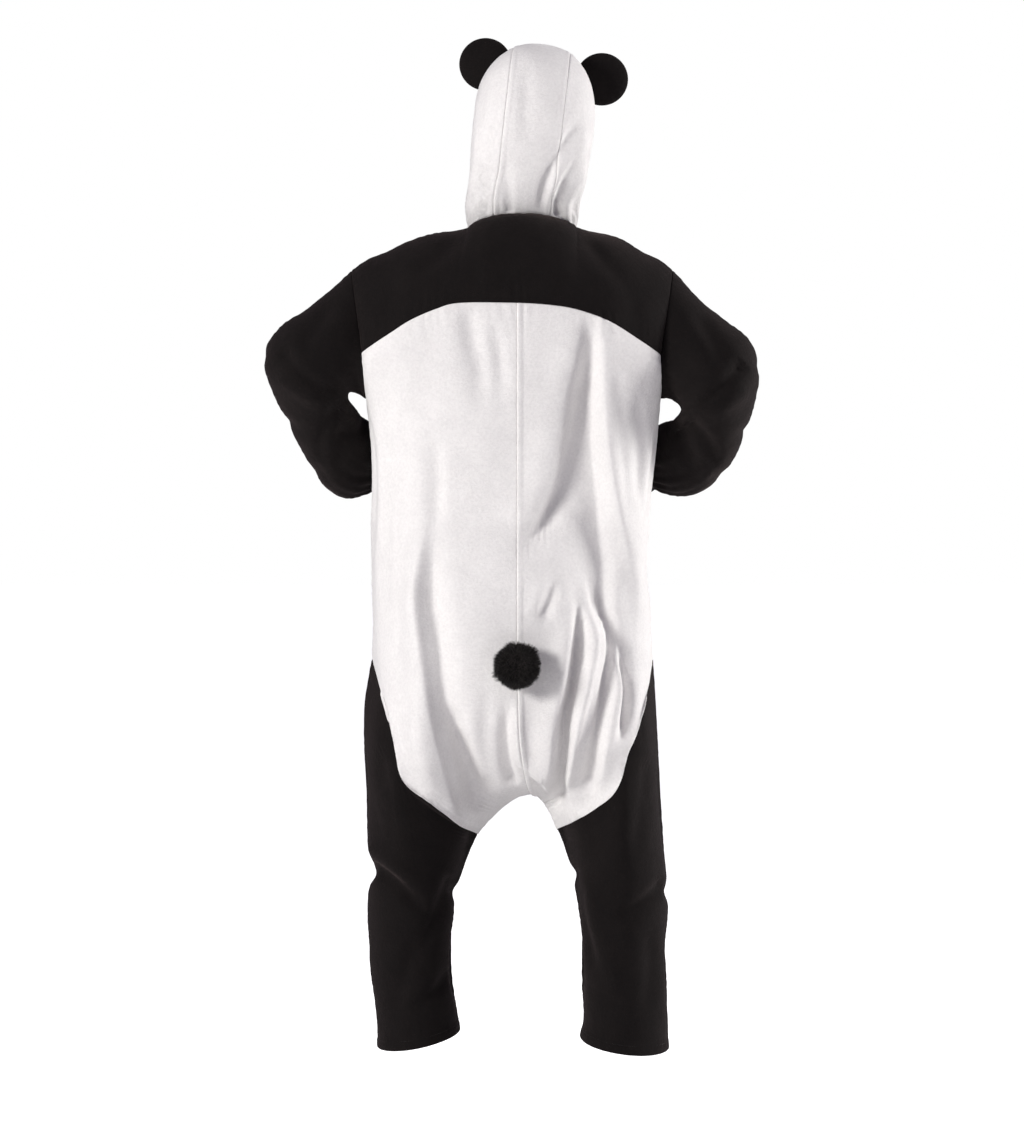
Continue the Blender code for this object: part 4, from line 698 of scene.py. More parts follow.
class Surface:
    """Points of the cloth's outer face, shared between grids that meet at a seam."""

    def __init__(self):
        self.points = np.zeros((0, 3))
        self.parts = []
        self.faces = []

    def add(self, points, part):
        start = len(self.points)
        self.points = np.vstack([self.points, np.reshape(points, (-1, 3))])
        self.parts += [part] * (len(self.points) - start)
        return np.arange(start, len(self.points)).reshape(np.shape(points)[:-1])

    def skin(self, grid, flip=False):
        """Registers a grid's faces, so that the normals run smoothly over every seam."""
        quads = grid_quads(grid)
        self.faces.append(quads[:, ::-1] if flip else quads)

    def normals(self):
        quads = np.vstack(self.faces)
        corners = self.points[quads]
        facing = np.cross(corners[:, 2] - corners[:, 0], corners[:, 3] - corners[:, 1])
        total = np.zeros_like(self.points)
        for k in range(4):
            np.add.at(total, quads[:, k], facing)
        return total / np.maximum(np.linalg.norm(total, axis=1), 1e-12)[:, None]

    def crease(self, creases, fixed):
        """Moves the points along their normals by every crease that passes near them."""
        facing = self.normals()
        parts = np.array(self.parts)
        rise = np.zeros(len(self.points))
        for one in creases:
            view = VIEWS[one.view]
            toward = facing @ np.array(view.facing)
            near = np.flatnonzero((parts == one.part) & (toward > 0))
            rise[near] += one.height * crease_shape(one, view, self.points[near], toward[near])
        rise[fixed] = 0
        self.points += facing * rise[:, None]

    def wave(self, fixed):
        """Slow waves and small dents all over the cloth, so that no stretch of it is perfect."""
        facing = self.normals()
        rise = np.zeros(len(self.points))
        for number, (x, y, z) in enumerate(self.points):
            slow = noise.noise(Vector((x / WAVE_ACROSS, y / WAVE_ACROSS, z / WAVE_DOWN)))
            small = noise.noise(Vector((x / DENT_SIZE, y / DENT_SIZE, z / DENT_SIZE)))
            rise[number] = WAVE_HEIGHT * slow + DENT_HEIGHT * small
        rise[fixed] = 0
        self.points += facing * rise[:, None]


def crease_shape(one, view, points, toward):
    """How much of a crease's height each point gets, from 0 to 1."""
    length = run_along(one.path)[-1]
    line = spline(one.path, max(12, round(length / CREASE_SAMPLE)))
    run = run_along(line)
    run /= run[-1]
    across = np.array(view.across)
    sign = across.sum()
    flat = np.stack([points @ across, points[:, 2]], axis=1)
    line = line * (sign, 1)
    reach = 3 * max(one.left, one.right)
    share = np.zeros(len(points))
    inside = np.all((flat > line.min(axis=0) - reach) & (flat < line.max(axis=0) + reach), axis=1)
    if not inside.any():
        return share
    away = flat[inside][:, None] - line[None]
    gap = np.linalg.norm(away, axis=2)
    nearest = gap.argmin(axis=1)
    way = np.gradient(line, axis=0)[nearest]
    way /= np.linalg.norm(way, axis=1)[:, None]
    off = away[np.arange(len(nearest)), nearest]
    beside = way[:, 0] * off[:, 1] - way[:, 1] * off[:, 0]
    beyond = np.maximum(np.abs((way * off).sum(axis=1)) - CREASE_SAMPLE, 0)
    width = np.where(beside > 0, one.right, one.left)
    at = run[nearest]
    fade = smoothstep(at / max(one.fade[0], 0.01)) * smoothstep((1 - at) / max(one.fade[1], 0.01))
    share[inside] = np.exp(-(beside**2 + beyond**2) / width**2) * fade
    return share * smoothstep(toward * 2)


def distances(points, axis):
    """How far each point is along its own row or column of the grid, from the first one."""
    step = np.linalg.norm(np.diff(points, axis=axis), axis=2)
    start = np.zeros_like(np.take(step, [0], axis=axis))
    return np.concatenate([start, np.cumsum(step, axis=axis)], axis=axis)


def edge_places(count):
    """Places along a grid's side, with more of them close to both ends."""
    places = np.arange(count, dtype=float)
    ends = np.array(EDGE_STEPS)
    return np.concatenate([places[:1], ends, places[1:-1], count - 1 - ends[::-1], places[-1:]])


def refined(values):
    """A grid of values with closer rows and columns along its edges."""
    for _ in range(2):
        values = resampled(values, edge_places(len(values))).transpose(1, 0, 2)
    return values


def rolled(share):
    """A quarter of a circle from 1 at the edge down to 0, where share is 1."""
    return 1 - np.sqrt(1 - np.clip(1 - share, 0, 1) ** 2)


def seam_profile(gap):
    """The cloth rolls over into a seam, over the last few millimetres."""
    return -SEAM_SINK * rolled(gap / SEAM_ROLL)


def pucker(gap, along):
    """Small uneven puckers beside a seam."""
    wave = np.sin(along * 370 + 1.4 * np.sin(along * 83)) * (0.6 + 0.4 * np.sin(along * 47 + 1))
    near = gap / PUCKER_REACH
    return PUCKER * wave * 2.7 * near * np.exp(-near)


# How strongly a sewn edge sinks and puckers, and how high its allowance lifts the cloth and how it ends
SewnEdge = namedtuple("SewnEdge", "sink pucker rise fade")
SEWN_EDGES = {
    "seam": SewnEdge(1, 1, 0, 0.004),
    "allowance": SewnEdge(1, 1, ALLOWANCE_RISE, 0.004),
    "pressed": SewnEdge(0.4, 0.7, 0.0009, 0.005),
}


def edge_rise(kind, gap, along):
    """How far the cloth stands out beside an edge of its own kind."""
    if kind in SEWN_EDGES:
        sewn = SEWN_EDGES[kind]
        band = smoothstep(gap / 0.002) * (1 - smoothstep((gap - ALLOWANCE_WIDTH) / sewn.fade))
        return sewn.sink * seam_profile(gap) + sewn.pucker * pucker(gap, along) + sewn.rise * band
    if kind == "turned":
        return -TURN_SINK * rolled(gap / TURN_ROLL)
    if kind == "hem":
        band = 1 - smoothstep((gap - HEM_HEIGHT) / 0.003)
        stitch = np.exp(-(((gap - HEM_HEIGHT + HEM_STITCH_BELOW) / HEM_STITCH_WIDTH) ** 2))
        turn = HEM_EDGE * rolled(gap / HEM_EDGE)
        return HEM_RISE * band - HEM_STITCH_SINK * stitch - turn + pucker(np.abs(gap - HEM_HEIGHT), along)
    return np.zeros_like(gap)


def shell(name, points, facing, edges, lift=0.0):
    """A thin cloth shell on a grid of outer points. edges are the kinds of its four edges."""
    points, facing = refined(points), refined(facing)
    facing /= np.linalg.norm(facing, axis=2)[:, :, None]
    down, across = distances(points, 0), distances(points, 1)
    gaps = {
        "top": (down, across),
        "bottom": (down[-1:] - down, across),
        "left": (across, down),
        "right": (across[:, -1:] - across, down),
    }
    rise = np.zeros(points.shape[:2])
    for side, kind in edges.items():
        rise += edge_rise(kind, *gaps[side])
    outer = points + facing * (rise + lift)[:, :, None]
    inner = points + facing * (lift - CLOTH)
    return thin_wall("cloth_" + name, outer, inner, across, down)


def thin_wall(name, outer, inner, across, down, wrap=False):
    """A closed mesh of quads between two like grids, with the cloth's own coordinates on it."""
    rows, columns = outer.shape[:2]
    number = np.arange(rows * columns).reshape(rows, columns)
    if wrap:
        number = with_first(number)
    quads = grid_quads(number)
    under = quads[:, ::-1] + rows * columns
    rims = [number[0], number[-1][::-1]]
    if not wrap:
        rims += [number[::-1, 0], number[:, -1]]
    sides = [
        np.stack([rim[:-1], rim[1:], rim[1:] + rows * columns, rim[:-1] + rows * columns], axis=1)
        for rim in rims
    ]
    verts = np.vstack([outer.reshape(-1, 3), inner.reshape(-1, 3)])
    cloth = np.stack([across, down, np.zeros_like(down)], axis=2).reshape(-1, 3)
    return placed(name, verts, np.vstack([quads, under] + sides), np.vstack([cloth, cloth]))


def placed(name, points, faces, cloth=None):
    """A new object with smooth faces, all turned outwards, and sharp rims."""
    mesh = bpy.data.meshes.new(name)
    mesh.from_pydata(np.array(points).tolist(), [], [list(map(int, face)) for face in faces])
    if cloth is not None:
        attribute = mesh.attributes.new("cloth", "FLOAT_VECTOR", "POINT")
        attribute.data.foreach_set("vector", cloth.ravel())
    work = bmesh.new()
    work.from_mesh(mesh)
    bmesh.ops.recalc_face_normals(work, faces=work.faces)
    work.to_mesh(mesh)
    work.free()
    piece = bpy.data.objects.new(name, mesh)
    bpy.context.scene.collection.objects.link(piece)
    mesh.shade_smooth()
    mesh.set_sharp_from_angle(angle=math.radians(SHARP_ANGLE))
    return piece


def make_garment():
    """Body, sleeves and legs on one surface. Returns their shells and their lines of stitches."""
    surface = Surface()
    back = surface.add(body_rows(1), "body")
    front = surface.add(body_rows(-1), "body")
    armpit = YOKE_ROWS + ARMPIT_ROWS
    hip = armpit + SIDE_ROWS
    middle = back.shape[1] // 2
    for grid in (back, front):
        for row, reach in ((armpit, ARMPIT_EASE), (hip, HIP_EASE)):
            ease(surface, grid, row, reach)
    front[armpit : hip + 1, [0, -1]] = back[armpit : hip + 1, [0, -1]]
    front[-1] = back[-1]
    shoulder = NECK_SHOULDER_COLUMNS * COLUMN_PARTS + 1
    front[0, :shoulder] = back[0, :shoulder]
    front[0, -shoulder:] = back[0, -shoulder:]
    surface.skin(back)
    surface.skin(front, flip=True)

    tubes = {}
    limbs = (("left", 0, LEFT_SLEEVE, LEFT_LEG), ("right", -1, RIGHT_SLEEVE, RIGHT_LEG))
    for name, edge, sleeve, leg in limbs:
        flip = name == "left"
        seam = np.concatenate([back[armpit::-1, edge], front[1:armpit, edge]])
        angle = circle(len(seam))
        rings = tube_rings(sleeve, SLEEVE_ROWS, surface.points[seam], angle)
        tubes["sleeve_" + name] = np.vstack([seam, surface.add(rings, "sleeve")])
        seam = np.concatenate([back[hip:, edge], front[-2:hip:-1, edge]])
        angle = math.pi - circle(len(seam))
        rings = tube_rings(leg, LEG_ROWS, surface.points[seam], angle)
        tubes["leg_" + name] = np.vstack([seam, surface.add(rings, "leg")])
        for part, turned in (("sleeve_", flip), ("leg_", not flip)):
            surface.skin(with_first(tubes[part + name]), flip=turned)
    around_neck = np.concatenate([back[0], front[0]])
    surface.wave(around_neck)
    surface.crease(GARMENT_CREASES, around_neck)
    for name in ("left", "right"):
        gather(surface, tubes["sleeve_" + name])
    facing = surface.normals()

    around = {side: "seam" for side in ("top", "left", "right", "bottom")}
    yoke, below = slice(0, YOKE_ROWS + 1), slice(YOKE_ROWS, None)
    left, right = slice(0, middle + 1), slice(middle, None)
    grids = {
        "back_yoke": (back[yoke], around),
        "front_yoke_left": (front[yoke, left], {**around, "right": "free"}),
        "front_yoke_right": (front[yoke, right], {**around, "left": "free"}),
        "back_left": (back[below, left], around),
        "back_right": (back[below, right], {**around, "left": "allowance"}),
        "front_left": (front[below, left], around),
        "front_right": (front[below, right], around),
    }
    for limb, half, end in (("sleeve", armpit, "seam"), ("leg", SEAT_ROWS, "hem")):
        for name in ("left", "right"):
            tube = tubes[f"{limb}_{name}"]
            kinds = {**around, "bottom": end}
            grids[f"{limb}_back_{name}"] = (tube[:, : half + 1], kinds)
            grids[f"{limb}_front_{name}"] = (np.hstack([tube[:, half:], tube[:, :1]]), kinds)
    shells = {
        name: shell(name, surface.points[grid], facing[grid], kinds)
        for name, (grid, kinds) in grids.items()
    }
    placket_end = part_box("placket_belly")[0].z
    bottom = int(np.abs(surface.points[front[:, middle], 2] - placket_end).argmin())
    strip = front[: bottom + 1, middle - COLUMN_PARTS : middle + COLUMN_PARTS + 1]
    turned = {"left": "turned", "right": "turned"}
    lines = {"leg_hems": []}
    for name, rows, ends in (
        ("placket_yoke", strip[yoke], {"bottom": "seam"}),
        ("placket_belly", strip[below], {"top": "seam", "bottom": "turned"}),
    ):
        points, out = surface.points[rows], facing[rows]
        shells[name] = shell(name, points, out, {**turned, **ends}, lift=PLACKET_LIFT)
        lines[name] = edge_lines(points, out)
    for name in ("left", "right"):
        closed = with_first(tubes["leg_" + name])
        lines["leg_hems"].append(beside_edge(surface.points[closed], facing[closed]))
    return shells, lines


def ease(surface, grid, row, reach):
    """Rounds off the bend where two tables of sections meet, away from the side edges."""
    rows = surface.points[grid[row - reach : row + reach + 1]]
    near_row = 1 - np.abs(np.arange(-reach, reach + 1)) / (reach + 1)
    from_edge = np.minimum(np.arange(grid.shape[1]), np.arange(grid.shape[1])[::-1])
    weight = smoothstep(near_row * 2)[1:-1, None, None] * smoothstep(from_edge / 8)[None, :, None]
    for _ in range(EASE_ROUNDS):
        between = (rows[:-2] + rows[2:]) / 2
        rows[1:-1] += 0.5 * weight * (between - rows[1:-1])
    surface.points[grid[row - reach : row + reach + 1]] = rows


def edge_lines(points, facing):
    """Lines for the stitches along both long edges of a strip."""
    found = []
    for grid, out in ((points, facing), (points[:, ::-1], facing[:, ::-1])):
        across = np.linalg.norm(grid[:, -1] - grid[:, 0], axis=1)
        share = (PLACKET_STITCH_IN / across)[:, None]
        line = grid[:, 0] + (grid[:, 1] - grid[:, 0]) * share * (grid.shape[1] - 1)
        found.append((line + out[:, 0] * PLACKET_LIFT, out[:, 0]))
    return found


def gather(surface, tube):
    """Small gathers where the end of a sleeve is drawn into its cuff."""
    points = surface.points[tube]
    to_end = np.linalg.norm(np.diff(points, axis=0), axis=2).mean(axis=1)
    to_end = np.concatenate([np.cumsum(to_end[::-1])[::-1], [0]])[:, None]
    angle = circle(tube.shape[1])
    wave = np.cos(GATHERS * angle + 1.3 * np.sin(3 * angle)) * (0.75 + 0.25 * np.sin(5 * angle + 1))
    height = GATHER_HEIGHT * (0.4 + 0.6 * smoothstep(to_end / 0.015)) * np.exp(-to_end / GATHER_REACH)
    surface.points[tube] += surface.normals()[tube] * (wave * height)[:, :, None]


def make_cuff(name, table):
    """The knitted cuff, a tube of fine ribs that turns in at its end."""
    angle = circle(CUFF_RIBS * CUFF_RIB_COLUMNS)
    rings = np.array([ring_points(Ring(*row), angle) for row in spline(table, CUFF_ROWS)])
    toward = rings.mean(axis=1)[:, None] - rings
    outward = -toward / np.linalg.norm(toward, axis=2)[:, :, None]
    share = np.linspace(0, 1, CUFF_ROWS + 1)[:, None]
    rib = np.abs(np.sin(angle * CUFF_RIBS / 2)) ** 0.7 - 0.6
    swell = CUFF_SWELL * np.sin(share * math.pi) - CUFF_TURN * smoothstep((share - 0.93) / 0.07)
    outer = rings + outward * (CUFF_RIB_HEIGHT * rib * np.ones_like(share) + swell)[:, :, None]
    inner = rings - outward * CLOTH
    down = share * CUFF_LENGTH * np.ones_like(angle)
    return thin_wall(name, outer, inner, np.zeros_like(down), down, wrap=True)


def tilted(points):
    """The hood leans to the wearer's right, more and more from the neck up to HOOD_TILT."""
    angle = HOOD_TILT * smoothstep((points[..., 2] - HOOD_TILT_FROM) / HOOD_TILT_HEIGHT)
    cos, sin = np.cos(angle), np.sin(angle)
    x, y, z = points[..., 0], points[..., 1], points[..., 2]
    return np.stack([x * cos - z * sin, y, x * sin + z * cos], axis=-1)


def hood_arch(middle, half_width, foot):
    """Half an arch of the hood, finely divided: a dome down from the middle, then a side."""
    rise = np.array(middle) - foot[1:]
    length = np.linalg.norm(rise)
    dome = min(HOOD_DOME, length * HOOD_DOME_MOST)
    angle = np.linspace(0, math.pi / 2, CURVE_SAMPLES)
    below = np.linspace(0, 1, CURVE_SAMPLES)[1:]
    reach = foot[0] - NECK_X
    side = reach + (half_width - reach) * (1 - below**HOOD_CHEEK)
    x = np.concatenate([half_width * np.sin(angle) ** HOOD_ROUNDNESS, side])
    drop = dome * (1 - np.maximum(np.cos(angle), 0) ** HOOD_ROUNDNESS)
    drop = np.concatenate([drop, dome + (length - dome) * below])
    share = 1 - drop / length
    return np.stack([x, foot[1] + rise[0] * share, foot[2] + rise[1] * share], axis=1)


def along_arch(arch):
    """The arch cut at equal steps across half the gusset, then at equal steps down the side."""
    run = run_along(arch)
    widest = arch[:, 0].argmax() + 1
    seam = np.interp(HOOD_GUSSET_HALF_WIDTH, arch[:widest, 0], run[:widest])
    inner = np.linspace(0, seam, HOOD_GUSSET_COLUMNS * COLUMN_PARTS + 1)
    down = np.linspace(0, 1, HOOD_SIDE_COLUMNS * COLUMN_PARTS + 1) ** HOOD_SIDE_COLUMNS_WIDER
    stations = np.concatenate([inner, seam + (run[-1] - seam) * down[1:]])
    return np.stack([np.interp(stations, run, arch[:, k]) for k in range(3)], axis=1)


def hood_rows():
    """Arches from one side of the neck over the head to the other, from the face to the nape."""
    front_neck = neckline(-1, neck_angles())
    front_neck = front_neck[: len(front_neck) // 2][::-1]
    base = np.delete(divided(front_neck, HOOD_ROWS_PER_NECK_STEP), -2, axis=0)
    rows = []
    for number, (y, z, half_width) in enumerate(spline(HOOD, len(base) - 1)[:-1]):
        half = along_arch(hood_arch((y, z), half_width, base[number]))
        left = half[::-1] + (NECK_X, 0, 0)
        right = half[1:] * (-1, 1, 1) + (NECK_X, 0, 0)
        rows.append(np.vstack([left, right]))
    nape = divided(neck_angles(), COLUMN_PARTS)
    nape = resampled(nape, np.linspace(0, len(nape) - 1, len(rows[0])))
    rows.append(neckline(1, nape))
    flat = [row.ravel() for row in rows]
    fine = spline(flat, (len(rows) - 1) * HOOD_ROW_PARTS)
    return tilted(fine.reshape(len(fine), -1, 3))


def make_hood():
    """Two side panels with a gusset between them, and a turned hem round the face."""
    surface = Surface()
    grid = surface.add(hood_rows(), "hood")
    surface.skin(grid)
    at_neck = np.concatenate([grid[-1], grid[:, 0], grid[:, -1]])
    surface.wave(at_neck)
    surface.crease(HOOD_CREASES, at_neck)
    points, facing = surface.points, surface.normals()
    left = HOOD_SIDE_COLUMNS * COLUMN_PARTS
    right = grid.shape[1] - 1 - left
    around = {"top": "hem", "bottom": "seam"}
    shells = {}
    for name, panel, sides in (
        ("hood_left", grid[:, : left + 1], {"left": "seam", "right": "pressed"}),
        ("hood_gusset", grid[:, left : right + 1], {"left": "pressed", "right": "pressed"}),
        ("hood_right", grid[:, right:], {"left": "pressed", "right": "seam"}),
    ):
        shells[name] = shell(name, points[panel], facing[panel], {**around, **sides})
    return shells, points[grid], facing[grid]


def make_ear(name, hood_points, hood_facing):
    """A stuffed round ear of two sewn faces, which is closed against the hood."""
    low, high = (np.array(corner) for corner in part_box(name))
    centre = np.array([(low[0] + high[0]) / 2, (low[1] + high[1]) / 2, high[2] - EAR_RADIUS])
    side = 1 if centre[0] > NECK_X else -1
    centre[0] = (high[0] if side > 0 else low[0]) - side * EAR_RADIUS
    around, across = 144, 48
    angle = 2 * math.pi * np.arange(around) / around
    share = np.linspace(0, 1, across + 1)
    rows = []
    for face in (-1, 1):
        order = share if face < 0 else share[::-1][1:]
        for part in order:
            radius = EAR_RADIUS * math.sin(part * math.pi / 2)
            near_rim = smoothstep((part - 0.35) / 0.5)
            fold = np.sin(angle * 23 + 2 * np.sin(angle * 4)) * (0.6 + 0.4 * np.sin(angle * 7 + face))
            bulge = EAR_HALF_THICKNESS * max(math.cos(part * math.pi / 2), 0) ** 0.8
            lift = bulge * (1 + 0.10 * np.sin(angle * 3 + face) * near_rim)
            lift = lift + EAR_FOLD_HEIGHT * fold * near_rim * (part < 1)
            rows.append(np.stack([radius * np.cos(angle), face * lift, radius * np.sin(angle)], axis=1))
    points = np.array(rows)
    rim = np.abs(np.arange(len(points)) - across)
    groove = 1 - 0.022 * np.exp(-((rim - 1.5) ** 2)) * (rim > 0)
    points[:, :, [0, 2]] *= groove[:, None, None]
    return closed_on_hood(name, points + centre, hood_points, hood_facing)


def closed_on_hood(name, points, hood_points, hood_facing):
    """Pushes what lies inside the hood back into the hood's own cloth."""
    shape = points.shape
    flat = points.reshape(-1, 3)
    hood = hood_points.reshape(-1, 3)
    facing = hood_facing.reshape(-1, 3)
    for first in range(0, len(flat), 2000):
        some = flat[first : first + 2000]
        nearest = np.linalg.norm(some[:, None] - hood[None], axis=2).argmin(axis=1)
        depth = ((some - hood[nearest]) * facing[nearest]).sum(axis=1)
        push = np.where(depth < -EAR_SEAT, -EAR_SEAT - depth, 0)
        flat[first : first + 2000] = some + facing[nearest] * push[:, None]
    rows, columns = shape[:2]
    number = with_first(np.arange(rows * columns).reshape(rows, columns))
    return placed("padded_" + name, flat, grid_quads(number)[:, ::-1], flat[:, [0, 2, 1]])


def make_fur(name):
    """The pompom: thousands of thin tapered hairs in small tufts on a dark core."""
    low, high = (np.array(corner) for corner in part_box("tail_pompom"))
    centre = (low + high) / 2
    centre[1] = high[1] - FUR_RADIUS
    chance = np.random.default_rng(11)
    turn = math.pi * (3 - math.sqrt(5))
    count = np.arange(FUR_HAIRS)
    z = 1 - 2 * (count + 0.5) / FUR_HAIRS
    across = np.sqrt(1 - z**2)
    root_way = np.stack([across * np.cos(turn * count), across * np.sin(turn * count), z], axis=1)
    root_way += chance.normal(0, FUR_ROOT_SPREAD, root_way.shape)
    root_way /= np.linalg.norm(root_way, axis=1)[:, None]
    tuft = root_way[chance.integers(0, FUR_HAIRS, FUR_TUFTS)]
    nearest = (root_way @ tuft.T).argmax(axis=1)
    tip_way = root_way * (1 - FUR_CLUMP) + tuft[nearest] * FUR_CLUMP
    tip_way += chance.normal(0, FUR_TIP_SPREAD, tip_way.shape)
    tip_way /= np.linalg.norm(tip_way, axis=1)[:, None]
    reach = FUR_RADIUS * (0.93 + 0.07 * chance.random(FUR_HAIRS))
    reach = reach * (1 + 0.05 * chance.normal(0, 1, FUR_TUFTS)[nearest])
    inward = -tip_way[:, 1]
    flat = np.where(inward > 0.05, FUR_FLAT / np.maximum(inward, 0.05), 1)
    reach = np.minimum(reach, flat)
    root = root_way * FUR_CORE * 0.95
    tip = tip_way * reach[:, None] + (0, 0, -FUR_SAG)
    root, tip = root + centre, tip + centre
    return hairs(name, root, tip, root_way, chance, centre)


def hairs(name, root, tip, out, chance, centre):
    """One mesh of three-sided hairs, each of three stretches, with a core ball under them."""
    side = np.cross(out, chance.normal(0, 1, out.shape))
    side /= np.linalg.norm(side, axis=1)[:, None]
    other = np.cross(out, side)
    bend = side * chance.normal(0, FUR_BEND, len(root))[:, None]
    verts = []
    for share, width in ((0.0, 1.0), (0.4, 0.9), (0.75, 0.6)):
        middle = root + (tip - root) * share + bend * math.sin(share * math.pi)
        for k in range(3):
            turn = k * 2 * math.pi / 3
            verts.append(middle + (side * math.cos(turn) + other * math.sin(turn)) * FUR_HAIR * width)
    verts.append(tip)
    verts = np.stack(verts, axis=1).reshape(-1, 3)
    start = np.arange(len(root))[:, None] * 10
    faces = []
    for level in (0, 3):
        for k in range(3):
            n = (k + 1) % 3
            faces += [(level + k, level + n, level + 3 + n), (level + k, level + 3 + n, level + 3 + k)]
    faces += [(6 + k, 6 + (k + 1) % 3, 9) for k in range(3)]
    faces += [(0, 2, 1)]
    triangles = (start[:, :, None] + np.array(faces)[None]).reshape(-1, 3)
    down = [math.pi * row / FUR_CORE_ROWS for row in range(FUR_CORE_ROWS + 1)]
    ball = [(FUR_CORE * math.sin(angle), FUR_CORE * math.cos(angle)) for angle in down]
    core_points, core_faces = revolved(ball, 2 * FUR_CORE_ROWS)
    points = np.vstack([verts, core_points + centre])
    return placed(name, points, triangles.tolist() + [[n + len(verts) for n in face] for face in core_faces])


def beside_edge(points, facing):
    """The line of stitches along the hem at a grid's last row, and its normals."""
    gap = HEM_HEIGHT - HEM_STITCH_BELOW
    step = np.linalg.norm(np.diff(points[::-1], axis=0), axis=2)
    run = np.concatenate([np.zeros((1, points.shape[1])), np.cumsum(step, axis=0)])
    line, out = [], []
    for column in range(points.shape[1]):
        for values, found in ((points, line), (facing, out)):
            ordered = values[::-1, column]
            found.append([np.interp(gap, run[:, column], ordered[:, k]) for k in range(3)])
    line, out = np.array(line), np.array(out)
    out /= np.linalg.norm(out, axis=1)[:, None]
    return line + out * edge_rise("hem", np.array([gap]), np.array([0.0])), out


def make_stitches(name, lines):
    """A row of short raised stitches along each line of points with their normals."""
    verts, faces = [], []
    for line, out in lines:
        run = run_along(line)
        for start in np.arange(STITCH_STEP, run[-1] - STITCH_STEP, STITCH_STEP):
            ends = [start, start + STITCH_LENGTH / 2, start + STITCH_LENGTH]
            a, middle, b = (np.array([np.interp(s, run, line[:, k]) for k in range(3)]) for s in ends)
            up = np.array([np.interp(ends[1], run, out[:, k]) for k in range(3)])
            along = (b - a) / np.linalg.norm(b - a)
            across = np.cross(along, up)
            first = len(verts)
            verts += [a, b]
            for side, rise in ((-1, 0), (0, 1.3), (1, 0), (0, -1)):
                verts.append(middle + (across * side + up * rise) * STITCH_RADIUS)
            for k in range(4):
                n = (k + 1) % 4
                faces += [(first, first + 2 + k, first + 2 + n), (first + 1, first + 2 + n, first + 2 + k)]
    return placed(name, verts, faces)


def revolved(profile, around):
    """Points and faces of a profile of radius and height, from radius 0 to radius 0, turned round Z."""
    points = [(0, 0, profile[0][1])]
    starts = []
    for radius, height in profile[1:-1]:
        starts.append(len(points))
        for k in range(around):
            turn = 2 * math.pi * k / around
            points.append((radius * math.cos(turn), radius * math.sin(turn), height))
    points.append((0, 0, profile[-1][1]))
    faces = []
    for k in range(around):
        n = (k + 1) % around
        faces.append((0, starts[0] + k, starts[0] + n))
        for a, b in zip(starts, starts[1:]):
            faces.append((a + k, b + k, b + n, a + n))
        faces.append((starts[-1] + k, len(points) - 1, starts[-1] + n))
    return np.array(points), faces


def button_frame(node):
    """The turn and the place of a button's CAD solid, with its face towards the front."""
    points = np.array([tuple(vertex.co) for vertex in node.data.vertices])
    centre = (points.min(axis=0) + points.max(axis=0)) / 2
    axis = np.linalg.svd(points - points.mean(axis=0))[2][-1]
    axis = axis if axis[1] < 0 else -axis
    turn = Vector(axis).to_track_quat("Z", "Y").to_matrix().to_4x4()
    return Matrix.Translation(Vector(centre)) @ turn


def make_button(name, node):
    """A button with a raised rim, a dished middle and four holes, and the thread through them."""
    where = button_frame(node)
    r, half = BUTTON_RADIUS, BUTTON_THICKNESS / 2
    profile = [
        (0, half * 0.35), (r * 0.45, half * 0.35), (r * 0.62, half * 0.42), (r * 0.74, half * 0.72),
        (r * 0.83, half * 0.97), (r * 0.90, half), (r * 0.96, half * 0.80), (r * 0.99, half * 0.35),
        (r * 0.98, -half * 0.3), (r * 0.90, -half * 0.85), (r * 0.75, -half), (0, -half),
    ]
    button = placed(name, *revolved(profile, 56))
    for x in (-1, 1):
        for y in (-1, 1):
            tube = revolved([(0, -1), (BUTTON_HOLE, -1), (BUTTON_HOLE, 1), (0, 1)], 16)
            hole = placed("hole", *tube)
            hole.location = (x * BUTTON_HOLES_APART / 2, y * BUTTON_HOLES_APART / 2, 0)
            cut = button.modifiers.new("hole", "BOOLEAN")
            cut.operation = "DIFFERENCE"
            cut.object = hole
            bpy.context.view_layer.update()
            whole = bpy.data.meshes.new_from_object(
                button.evaluated_get(bpy.context.evaluated_depsgraph_get())
            )
            button.modifiers.clear()
            button.data = whole
            bpy.data.objects.remove(hole)
    button.data.transform(where)
    thread = []
    for number, x in enumerate((-1, 1)):
        for strand in (-1, 0, 1):
            side = x * BUTTON_HOLES_APART / 2 + strand * THREAD_RADIUS * 1.4
            rise = half * 0.45 + THREAD_RADIUS * (1.1 if strand == 0 else 0.6)
            path = [
                (side, -BUTTON_HOLES_APART / 2 - 0.0002, -half * 0.4),
                (side, -BUTTON_HOLES_APART / 2 + 0.0001, rise * 0.7),
                (side + number * 0.0001, 0, rise),
                (side, BUTTON_HOLES_APART / 2 - 0.0001, rise * 0.7),
                (side, BUTTON_HOLES_APART / 2 + 0.0002, -half * 0.4),
            ]
            thread.append(path)
    return button, make_thread(name + "_thread", thread, where)


def make_thread(name, paths, where):
    """Thin round strands along smooth paths."""
    verts, faces = [], []
    for path in paths:
        line = spline(path, 12)
        for number, point in enumerate(line):
            for k in range(5):
                turn = 2 * math.pi * k / 5
                ahead = line[min(number + 1, len(line) - 1)] - line[max(number - 1, 0)]
                ahead /= np.linalg.norm(ahead)
                up = np.cross(ahead, (1, 0, 0))
                out = np.array((1, 0, 0)) * math.cos(turn) + up * math.sin(turn)
                verts.append(tuple(where @ Vector(point + out * THREAD_RADIUS)))
                if number:
                    n = (k + 1) % 5
                    here = len(verts) - 1 - k
                    faces.append((here - 5 + k, here + k, here + n, here - 5 + n))
    return placed(name, verts, faces)


